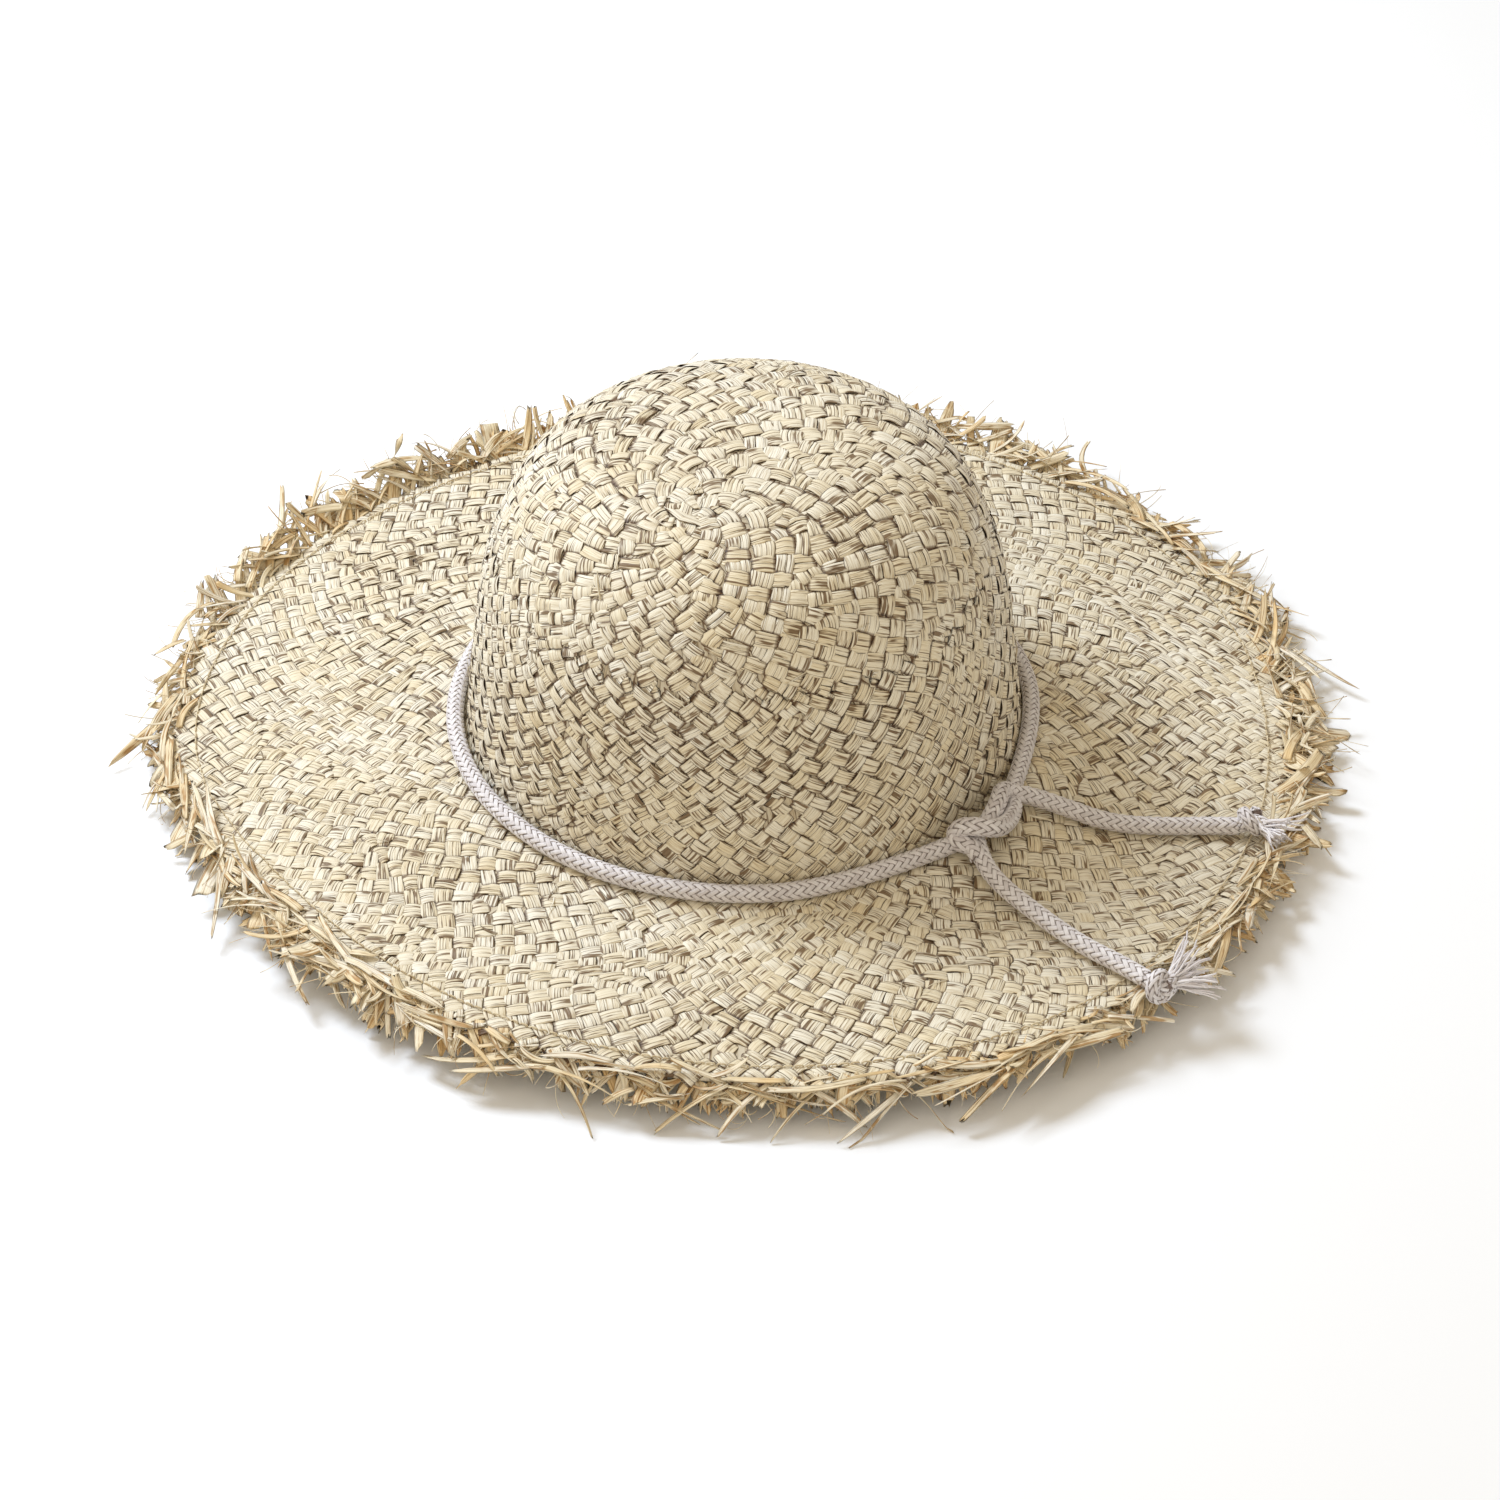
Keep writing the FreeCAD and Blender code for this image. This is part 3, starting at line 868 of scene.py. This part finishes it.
def add_ends(builders):
    """The woven strips' own ends: each runs on past the stitching, split, bent and torn."""
    for number, (tint, centre, along, normal, side, half) in enumerate(ENDS):
        azimuth = math.atan2(centre[1] - CENTRE[1], centre[0] - CENTRE[0])
        reach = fringe_reach(azimuth)
        pieces = int(rng.choice([1, 2, 3, 4], p=[0.24, 0.36, 0.26, 0.14]))
        bounds = [-1.0, *np.sort(rng.uniform(-0.5, 0.5, pieces - 1)), 1.0]
        common = rng.normal(0, 0.35)
        heading = math.atan2(along[1], along[0])
        outward = math.atan2(math.sin(azimuth - heading), math.cos(azimuth - heading))
        along_edge = rng.random() < 0.30
        for left, right in zip(bounds, bounds[1:]):
            width = max((right - left) / 2 * half * rng.uniform(0.7, 1.1), 0.45 * MM)
            start = centre + side * (left + right) / 2 * half - along * 2.5 * MM
            start = start + normal * rng.uniform(-0.4, 0.5) * MM
            length = reach * rng.uniform(0.55, 1.12) + 3 * MM
            bend = outward * rng.uniform(-0.4, 0.6) + common + rng.normal(0, 0.35)
            if along_edge:
                length *= 1.25
                bend = -np.sign(outward) * rng.uniform(0.3, 0.9)
            curl = rng.normal(-0.08, 0.5)
            points = loose_path(start, heading + rng.normal(0, 0.15), length, bend, curl,
                                rng.normal(0.05, 0.12), 11)
            twist = rng.normal(0, 0.6)
            taper = (rng.uniform(3.0, 9.0), rng.choice([0.5, 0.7, 0.9, 1.0]))
            shade = float(np.clip(0.30 * tint + rng.uniform(0.0, 0.55), 0, 1))
            loose_strip(builders[number % len(builders)], points, width, twist, shade,
                        FRINGE_SECTION, taper, 0.28 * MM)


EDGE_STRIPS = 330
UNDER_STRIPS = 340
HAIRS = 520


def add_edge_strips(builder):
    """Strips that have worked loose and lie along the edge, over the ends of the others."""
    for _ in range(EDGE_STRIPS):
        azimuth = rng.uniform(0, math.tau)
        inset = rng.uniform(-2.5 * MM, 0.55 * fringe_reach(azimuth))
        start = fringe_start(azimuth, inset) + UP * rng.uniform(0.5, 2.2) * MM
        turn = rng.choice([-1, 1])
        heading = azimuth + turn * math.pi / 2 - turn * rng.uniform(-0.10, 0.55)
        length = rng.uniform(9, 30) * MM
        width = rng.uniform(0.4, 1.7) * MM
        bend = turn * length / 0.18 + rng.normal(0, 0.35)
        points = loose_path(start, heading, length, bend, rng.normal(0, 0.15),
                            rng.normal(0, 0.05), 11)
        points[:, 2] += rng.uniform(0.3, 1.4) * MM * np.sin(np.linspace(0, math.pi, 11))
        taper = (rng.uniform(2.5, 7.0), rng.choice([0.2, 0.5, 0.8]))
        loose_strip(builder, points, width, rng.normal(0, 0.9), rng.uniform(0.0, 0.72),
                    FRINGE_SECTION, taper, 0.26 * MM)


def add_under_strips(builder):
    """Shorter broken ends below, which close the fringe near the stitching."""
    for _ in range(UNDER_STRIPS):
        azimuth = rng.uniform(0, math.tau)
        start = fringe_start(azimuth, rng.uniform(-3.0, 0.0) * MM) - UP * rng.uniform(0.8, 1.8) * MM
        start[2] = max(start[2], FLOOR_GAP)
        heading = azimuth + rng.choice([-1, 1]) * rng.uniform(0.1, 0.9)
        length = fringe_reach(azimuth) * rng.uniform(0.5, 1.0) + 2 * MM
        points = loose_path(start, heading, length, rng.normal(0, 0.6), rng.normal(-0.25, 0.35),
                            rng.normal(-0.1, 0.12), 9)
        taper = (rng.uniform(3.0, 8.0), rng.choice([0.4, 0.7, 0.95]))
        # these lower strips take the darker half of the fringe's tones: partly the straw's own
        # golden colour, partly painted shade
        loose_strip(builder, points, rng.uniform(0.8, 2.4) * MM, rng.normal(0, 0.7),
                    rng.uniform(0.55, 1.0), FRINGE_SECTION, taper, 0.28 * MM)


def add_hairs(builder):
    """Single fibres between the strips."""
    for _ in range(HAIRS):
        azimuth = rng.uniform(0, math.tau)
        start = fringe_start(azimuth, rng.uniform(-2, 6) * MM) + UP * rng.uniform(0.2, 1.0) * MM
        heading = azimuth + rng.normal(0, 0.9)
        length = fringe_reach(azimuth) * rng.uniform(0.4, 1.25)
        points = loose_path(start, heading, length, rng.normal(0, 1.4), rng.normal(0, 0.6),
                            rng.normal(0.1, 0.25), 9)
        width = rng.uniform(0.09, 0.22) * MM
        loose_strip(builder, points, width, 0.0, rng.uniform(0, 0.7), HAIR_SECTION, (2.0, 0.3),
                    width)


def build_fringe():
    builders = [Builder(), Builder()]
    add_ends(builders)
    add_edge_strips(builders[0])
    add_under_strips(builders[1])
    add_hairs(builders[0])
    for letter, builder in zip("ab", builders):
        piece = builder.finish("fringe_strips_" + letter, FRINGE)
        hand_in(piece, "hat", "fringe_straw", "brim_fringe")


build_fringe()


# ==== cords
def placed(point):
    """A route's point in the scene, from mm about the crown's centre and above its foot."""
    x, y, height = point
    return np.array([CENTRE[0] + x * MM, CENTRE[1] + y * MM, FOOT + height * MM])


def spline_line(route):
    """Points read from a NURBS spline that has the route's points as its control points."""
    curve = bpy.data.curves.new("route", "CURVE")
    curve.dimensions = "3D"
    curve.resolution_u = 32
    spline = curve.splines.new("NURBS")
    spline.points.add(len(route) - 1)
    for point, place in zip(spline.points, route):
        point.co = (*place, 1.0)
    spline.order_u = 3
    spline.use_endpoint_u = True
    holder = bpy.data.objects.new("route", curve)
    mesh = bpy.data.meshes.new_from_object(holder)
    line = np.array([v.co[:] for v in mesh.vertices])
    bpy.data.objects.remove(holder)
    bpy.data.curves.remove(curve)
    bpy.data.meshes.remove(mesh)
    return line


def evenly(line, spacing):
    """The line with its points at equal distances, and the distance walked at each."""
    walked = walk(line)
    count = max(int(round(walked[-1] / spacing)), 4) + 1
    stops = np.linspace(0, walked[-1], count)
    return np.stack([np.interp(stops, walked, line[:, k]) for k in range(3)], -1), stops


def carried_frames(points):
    """A sideways and an upward direction at each point, turned as little as the line allows."""
    along = tangents(points)
    side = np.zeros_like(points)
    side[0] = unit(np.cross(UP, along[0]))
    for i in range(1, len(points)):
        side[i] = unit(side[i - 1] - along[i] * side[i - 1].dot(along[i]))
    return side, np.cross(along, side)


YARN_SECTION = np.array([
    (-1.0, -0.25), (-0.68, 0.30), (-0.34, 0.10), (0.0, 0.42), (0.34, 0.10), (0.68, 0.30),
    (1.0, -0.25), (0.5, -0.5), (-0.5, -0.5),
])
# painted shade along each strand's edges and under it
YARN_EDGE = np.array([1, 0.2, 0, 0, 0, 0.2, 1, 1, 1], float)
BRAID_STRANDS = 8                   # of each family
BRAID_TURN = 23.0 * MM              # length of cord in which a strand goes once round it
WRAP_POINTS = 13                    # of the end knot's wrap
TASSEL_BUNDLES = 16
BUNDLE_YARNS = 4
YARN_ROUND = circle(5)


def braid(builders, line, diameter, spacing=0.5 * MM):
    """Two families of strands wound about a line, each over two and under two of the other."""
    points, walked = evenly(line, spacing)
    side, up = carried_frames(points)
    wave = 0.045 * diameter
    thickness = 0.13 * diameter
    radius = diameter / 2 - wave - 0.42 * thickness
    phase = walked * math.tau / BRAID_TURN
    crossing = phase * BRAID_STRANDS / math.pi
    half = 0.416 * math.tau * radius / BRAID_STRANDS
    for family, builder in zip((1, -1), builders):
        for index in range(BRAID_STRANDS):
            angle = math.tau * index / BRAID_STRANDS + family * phase
            place = 2 * index + family * crossing
            height = family * np.clip(1.5 * np.cos(math.pi / 2 * (place - 0.5)), -1, 1)
            out = rolled(side, up, angle)[0]
            centre = points + out * (radius + wave * height)[:, None]
            sideways = unit(np.cross(out, tangents(centre)))
            rings = swept(centre, sideways, out, YARN_SECTION, half, thickness)
            strip = strip_places(walked[:, None] / MM + 97 * index,
                                 YARN_SECTION[:, 0] * half / MM + 13 * index)
            # painted shade where a strand dips under the other family
            dip = np.clip(0.45 - 0.9 * height, 0, 1)[:, None] * 0.75
            builder.tube(rings, strip, rng.uniform(0, 1), np.maximum(dip, YARN_EDGE))
    # a core in full painted shade, seen only between the strands
    core = 0.80 * radius
    rings = swept(points, side, up, circle(10), core, core)
    builders[0].tube(rings, np.zeros(rings.shape[:2] + (2,)), 0.0, np.ones(rings.shape[:2]))
    return points


def cord_piece(builder, name, node):
    return hand_in(builder.finish(name, COTTON), "cord", "cotton_cord", node)


def build_band():
    step = math.radians((BAND_END - BAND_START) / (BAND_POINTS - 1))
    corner = BAND_HALF_WIDTH * MM / math.cos(step / 2)
    route = []
    for k in range(BAND_POINTS):
        angle = math.radians(BAND_START) + step * k
        radius = corner / math.hypot(math.cos(angle), math.sin(angle) / STRETCH)
        route.append(polar(angle, radius, FOOT + BAND_HEIGHT * MM))
    builders = [Builder(), Builder()]
    braid(builders, spline_line(route), CORD_DIAMETER)
    for letter, builder in zip("ab", builders):
        cord_piece(builder, "hat_cord_braid_" + letter, "hat_cord")


def build_tie():
    builder = Builder()
    for route in (TIE_UNDER_ROUTE, TIE_OVER_ROUTE):
        braid([builder, builder], spline_line([placed(p) for p in route]), CORD_DIAMETER * 1.02)
    cord_piece(builder, "tie_knot_ropes", "tie_knot")


def build_end_knot(name, node, before, centre, tip):
    """A half knot: the rope goes straight through a wrap of itself, then opens into its yarns."""
    start, middle, end = (placed(point) for point in (before, centre, tip))
    inward = unit(middle - start)
    outward = unit(end - middle)
    side = unit(np.cross(UP, inward))
    lift = np.cross(inward, side)
    builder = Builder()
    rope = CORD_DIAMETER * 0.86
    through = [start, middle - inward * 2 * MM, middle + (inward + outward) * 1.2 * MM,
               middle + outward * 5.5 * MM]
    braid([builder, builder], spline_line(through), rope)
    wrap = []
    for k in range(WRAP_POINTS):
        angle = math.radians(-40 + 37 * k)
        reach = (1.2 if k in (0, WRAP_POINTS - 1) else 3.3) * MM
        place = middle + inward * (-2.3 + 4.4 * k / (WRAP_POINTS - 1)) * MM
        wrap.append(place + side * reach * math.cos(angle) + lift * reach * math.sin(angle))
    braid([builder, builder], spline_line(wrap), rope * 0.88, spacing=0.4 * MM)
    return cord_piece(builder, name, node)


def build_tassel(name, node, centre, tip):
    """The cord's yarns past its end knot: bundles that spread, each of a few bent yarns."""
    middle, end = placed(centre), placed(tip)
    outward = unit(end - middle)
    length = np.linalg.norm(end - middle)
    side = unit(np.cross(UP, outward))
    lift = np.cross(outward, side)
    t = np.linspace(0, 1, 9)[:, None]
    builder = Builder()
    for bundle in range(TASSEL_BUNDLES):
        angle = math.tau * bundle / TASSEL_BUNDLES + rng.uniform(-0.2, 0.2)
        spread = rng.uniform(0.15, 0.55)
        tilt = side * math.cos(angle) * spread + lift * math.sin(angle) * spread * 0.6
        reach = length * rng.uniform(0.75, 1.05)
        bundle_bend = side * rng.normal(0, 0.25) + lift * rng.normal(0, 0.2)
        around = (side * math.cos(angle) + lift * math.sin(angle)) * 1.3 * MM
        for _ in range(BUNDLE_YARNS):
            jitter = (side * rng.normal(0, 1) + lift * rng.normal(0, 1)) * 0.35 * MM
            own = side * rng.normal(0, 0.10) + lift * rng.normal(0, 0.10)
            points = middle + outward * 3 * MM + around + jitter
            points = points + (outward + tilt + own) * t * (reach - 3 * MM)
            points = points + (bundle_bend + own) * t ** 2 * (reach * 0.5)
            wiggle = np.sin(t * rng.uniform(5, 11) + rng.uniform(0, 6)) * 0.25 * MM
            points = points + (side + lift * 0.5) * wiggle
            points[:, 2] = np.maximum(points[:, 2], FLOOR_GAP + 0.3 * MM)
            loose_strip(builder, points, 0.33 * MM, 3.0, rng.uniform(0, 1), YARN_ROUND,
                        (4.0, 0.7), 0.33 * MM)
    return cord_piece(builder, name, node)


def build_tail(label, route, knot, tip):
    points = [placed(p) for p in route]
    builder = Builder()
    path = braid([builder, builder], spline_line(points), CORD_DIAMETER)
    tail = cord_piece(builder, "cord_tail_" + label + "_braid", "cord_tail_" + label)
    end = build_end_knot("end_knot_" + label + "_rope", "end_knot_" + label, route[-1], knot, tip)
    tassel = build_tassel("tassel_" + label + "_yarns", "tassel_" + label, knot, tip)


build_band()
build_tie()
build_tail("right", TAIL_RIGHT_ROUTE, END_KNOT_RIGHT, TASSEL_RIGHT_TIP)
build_tail("front", TAIL_FRONT_ROUTE, END_KNOT_FRONT, TASSEL_FRONT_TIP)


# ==== sweatband and stitching
RIB_PITCH = 1.25 * MM
RIB_DEPTH = 0.18 * MM
RIB_COLUMNS = 4                     # mesh columns from one rib to the next
RIBBON_HEIGHT = 28 * MM
RIBBON_THICKNESS = 0.8 * MM
RIBBON_LEAN = 1.7 / 28              # how much the crown's wall comes in over the ribbon's height
RIBBON_ROWS = np.array([0, 0.4, 0.9, 1.6, 4, 8, 14, 20, 24, 26.4, 27.1, 27.6, 28]) * MM
TAB_ROWS = np.array([0, 0.5, 1.2, 4, 8, 12, 16, 20, 24, 26.8, 27.5, 28]) * MM
TAB_COLUMNS = 41
EDGE_STITCHES = 330
SWEATBAND_STITCHES = 170


def rib_wave(columns):
    """0 in the grooves between the ribs and 1 on their ridges, for each mesh column."""
    return 0.5 - 0.5 * np.cos(math.tau * np.arange(columns) / RIB_COLUMNS)


def build_sweatband():
    """Grosgrain ribbon: fine upright ribs, two firm edges, and a slight pucker at the stitches."""
    low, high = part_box("sweatband")
    half_x = (high.x - low.x) / 2
    girth = math.pi * half_x * (1 + STRETCH)
    columns = int(girth / RIB_PITCH) * RIB_COLUMNS
    turn = math.tau * np.arange(columns) / columns
    rib = rib_wave(columns)
    rings = []
    strips = []
    for inner in (False, True):         # up the outer face, then down the inner one
        for height in (RIBBON_ROWS[::-1] if inner else RIBBON_ROWS):
            edge = min(height, RIBBON_HEIGHT - height)
            soft = min(edge / (0.9 * MM), 1.0)
            ripple = 0.25 * MM * np.sin(11 * turn + 0.8) * height / RIBBON_HEIGHT
            radius = half_x - 0.1 * MM - RIBBON_LEAN * height
            if inner:
                firm = 0.12 * MM * (0.6 * MM < edge < 1.6 * MM)
                radius -= RIBBON_THICKNESS * (0.35 + 0.65 * soft) + firm
                radius = radius - RIB_DEPTH * rib * soft - np.abs(ripple)
            else:
                radius = radius - RIBBON_THICKNESS * 0.3 * (1 - soft) - np.abs(ripple) * 0.6
            rings.append(np.stack([CENTRE[0] + radius * np.cos(turn),
                                   CENTRE[1] + radius * STRETCH * np.sin(turn),
                                   np.full(columns, low.z + height)], -1))
            strips.append(strip_places(turn * half_x / MM, height / MM))
    builder = Builder()
    builder.tube(np.array(rings), np.array(strips), 0.5, joined=True)
    piece = hand_in(builder.finish("sweatband_ribbon", RIBBON), "hat", "ribbon", "sweatband")


def build_seam_tab():
    """A short ribbed piece folded over the sweatband's ends where they meet."""
    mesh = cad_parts["sweatband_seam_tab"].data
    points = np.array([v.co[:] for v in mesh.vertices])
    dx, dy = points[:, 0] - CENTRE[0], (points[:, 1] - CENTRE[1]) / STRETCH
    turns, reach = np.arctan2(dy, dx), np.hypot(dx, dy)
    low, high = points[:, 2].min(), points[:, 2].max()
    inner_low = reach[points[:, 2] < low + 1 * MM].min()
    inner_high = reach[points[:, 2] > high - 1 * MM].min()
    middle = math.atan2(np.sin(turns).mean(), np.cos(turns).mean())
    spread = np.abs(angle_between(turns, middle)).max()
    turn = np.linspace(middle - spread, middle + spread, TAB_COLUMNS)
    across = np.concatenate([TAB_ROWS, TAB_ROWS[::-1]])
    rings = []
    strips = []
    for k, rib in enumerate(rib_wave(TAB_COLUMNS)):
        edge = 0.35 * MM * (k in (0, TAB_COLUMNS - 1))
        section = []
        for number, height in enumerate(across):
            radius = inner_low + (inner_high - inner_low) * height / RIBBON_HEIGHT
            if number < len(TAB_ROWS):
                soft = min(min(height, RIBBON_HEIGHT - height) / (0.8 * MM), 1.0)
                radius -= (0.45 + 0.14 * rib) * MM * (0.4 + 0.6 * soft) - edge
            else:
                radius += 0.4 * MM
            section.append(polar(turn[k], radius, low + height, STRETCH))
        rings.append(section)
        strips.append(strip_places(across / MM, turn[k] * inner_low / MM))
    builder = Builder()
    builder.tube(np.array(rings), np.array(strips), 0.5)
    hand_in(builder.finish("seam_tab_ribbon", RIBBON), "hat", "ribbon", "sweatband_seam_tab")


def stitch(builder, start, end, lift, radius):
    """One stitch: a short thread that comes up, lies along and goes down again."""
    t = np.linspace(0, 1, 7)[:, None]
    arch = np.clip(np.sin(math.pi * t) * 1.8, 0, 1)
    points = start + (end - start) * t + lift * (arch - 0.35) * radius * 2.2
    loose_strip(builder, points, radius, 0.0, rng.uniform(0, 1), YARN_ROUND, (8.0, 0.8), radius)


def build_edge_stitching():
    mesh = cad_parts["edge_stitching"].data
    points = np.array([v.co[:] for v in mesh.vertices])
    dx, dy = points[:, 0] - CENTRE[0], points[:, 1] - CENTRE[1]
    azimuth, radius = np.arctan2(dy, dx), np.hypot(dx, dy)
    turns = np.linspace(-math.pi, math.pi, 181)
    table = [radius[np.abs(angle_between(azimuth, turn)) < 0.06].mean() for turn in turns]
    builder = Builder()
    for k in range(EDGE_STITCHES):
        ends = []
        for share in (0.06, 0.90):
            angle = -math.pi + math.tau * (k + share) / EDGE_STITCHES
            reach = np.interp(angle, turns, table)
            ends.append(polar(angle, reach, brim_height(angle, reach) + 0.75 * MM))
        stitch(builder, *ends, UP, 0.28 * MM)
    hand_in(builder.finish("edge_stitches", THREAD), "hat", "thread", "edge_stitching")


def build_sweatband_stitching():
    low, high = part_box("sweatband_stitching")
    reach = (high.x - low.x) / 2 - 1 * MM
    height = (low.z + high.z) / 2
    builder = Builder()
    for k in range(SWEATBAND_STITCHES):
        start, end = (polar(math.tau * (k + share) / SWEATBAND_STITCHES, reach, height, STRETCH)
                      for share in (0.08, 0.85))
        inward = unit(np.array([*CENTRE, height]) - (start + end) / 2)
        stitch(builder, start, end, inward, 0.3 * MM)
    piece = builder.finish("sweatband_stitches", THREAD)
    hand_in(piece, "hat", "thread", "sweatband_stitching")


RIBBON = cotton_material("ribbon", (0.74, 0.68, 0.55), (0.55, 0.48, 0.36))
THREAD = cotton_material("thread", (0.80, 0.70, 0.50), (0.58, 0.46, 0.28))
build_sweatband()
build_edge_stitching()
build_sweatband_stitching()
build_seam_tab()


# ==== floor, light, camera
def add_floor():
    size = 6.0
    corners = [(-size, -size, 0), (size, -size, 0), (size, size, 0), (-size, size, 0)]
    mesh = bpy.data.meshes.new("floor")
    mesh.from_pydata(corners, [], [(0, 1, 2, 3)])
    look = Look("floor")
    look.shade(Base_Color=(0.93, 0.95, 0.98), Roughness=0.9)
    mesh.materials.append(look.material)
    floor = bpy.data.objects.new("floor", mesh)
    bpy.context.scene.collection.objects.link(floor)


def add_area(name, place, size, power, colour):
    """A square light that faces the hat."""
    data = bpy.data.lights.new(name, "AREA")
    data.energy = power
    data.size = size
    data.color = colour
    light = bpy.data.objects.new(name, data)
    light.location = place
    light.rotation_euler = (MIDDLE - Vector(place)).to_track_quat("-Z", "Y").to_euler()
    bpy.context.scene.collection.objects.link(light)


def add_lights():
    world = bpy.data.worlds.new("studio")
    bpy.context.scene.world = world
    world.use_nodes = True
    background = world.node_tree.nodes["Background"]
    background.inputs["Color"].default_value = (0.90, 0.80, 0.65, 1)
    background.inputs["Strength"].default_value = 0.66
    add_area("key", (-0.85, 0.55, 1.25), 0.55, 24.0, (0.78, 0.87, 1.0))
    add_area("fill", (-0.6, -1.3, 1.2), 1.4, 5.0, (1.0, 0.90, 0.76))


MIDDLE = Vector((CENTRE[0], CENTRE[1], FOOT))    # what the lights and the camera point at
CAMERA_ELEVATION = math.radians(36.0)
CAMERA_DISTANCE = 1.2
VIEW_WIDTH = 0.485437               # how wide the view is at the hat
SENSOR = 36.0                       # mm


def add_camera():
    data = bpy.data.cameras.new("camera")
    data.sensor_width = SENSOR
    data.lens = CAMERA_DISTANCE / VIEW_WIDTH * SENSOR
    data.shift_x = 0.004
    data.shift_y = -0.0253
    data.clip_end = 50
    camera = bpy.data.objects.new("camera", data)
    back = Vector((0, -math.cos(CAMERA_ELEVATION), math.sin(CAMERA_ELEVATION)))
    camera.location = MIDDLE + back * CAMERA_DISTANCE
    camera.rotation_euler = (-back).to_track_quat("-Z", "Y").to_euler()
    bpy.context.scene.collection.objects.link(camera)
    bpy.context.scene.camera = camera


add_floor()
add_lights()
add_camera()
bpy.context.scene.view_settings.view_transform = "Standard"
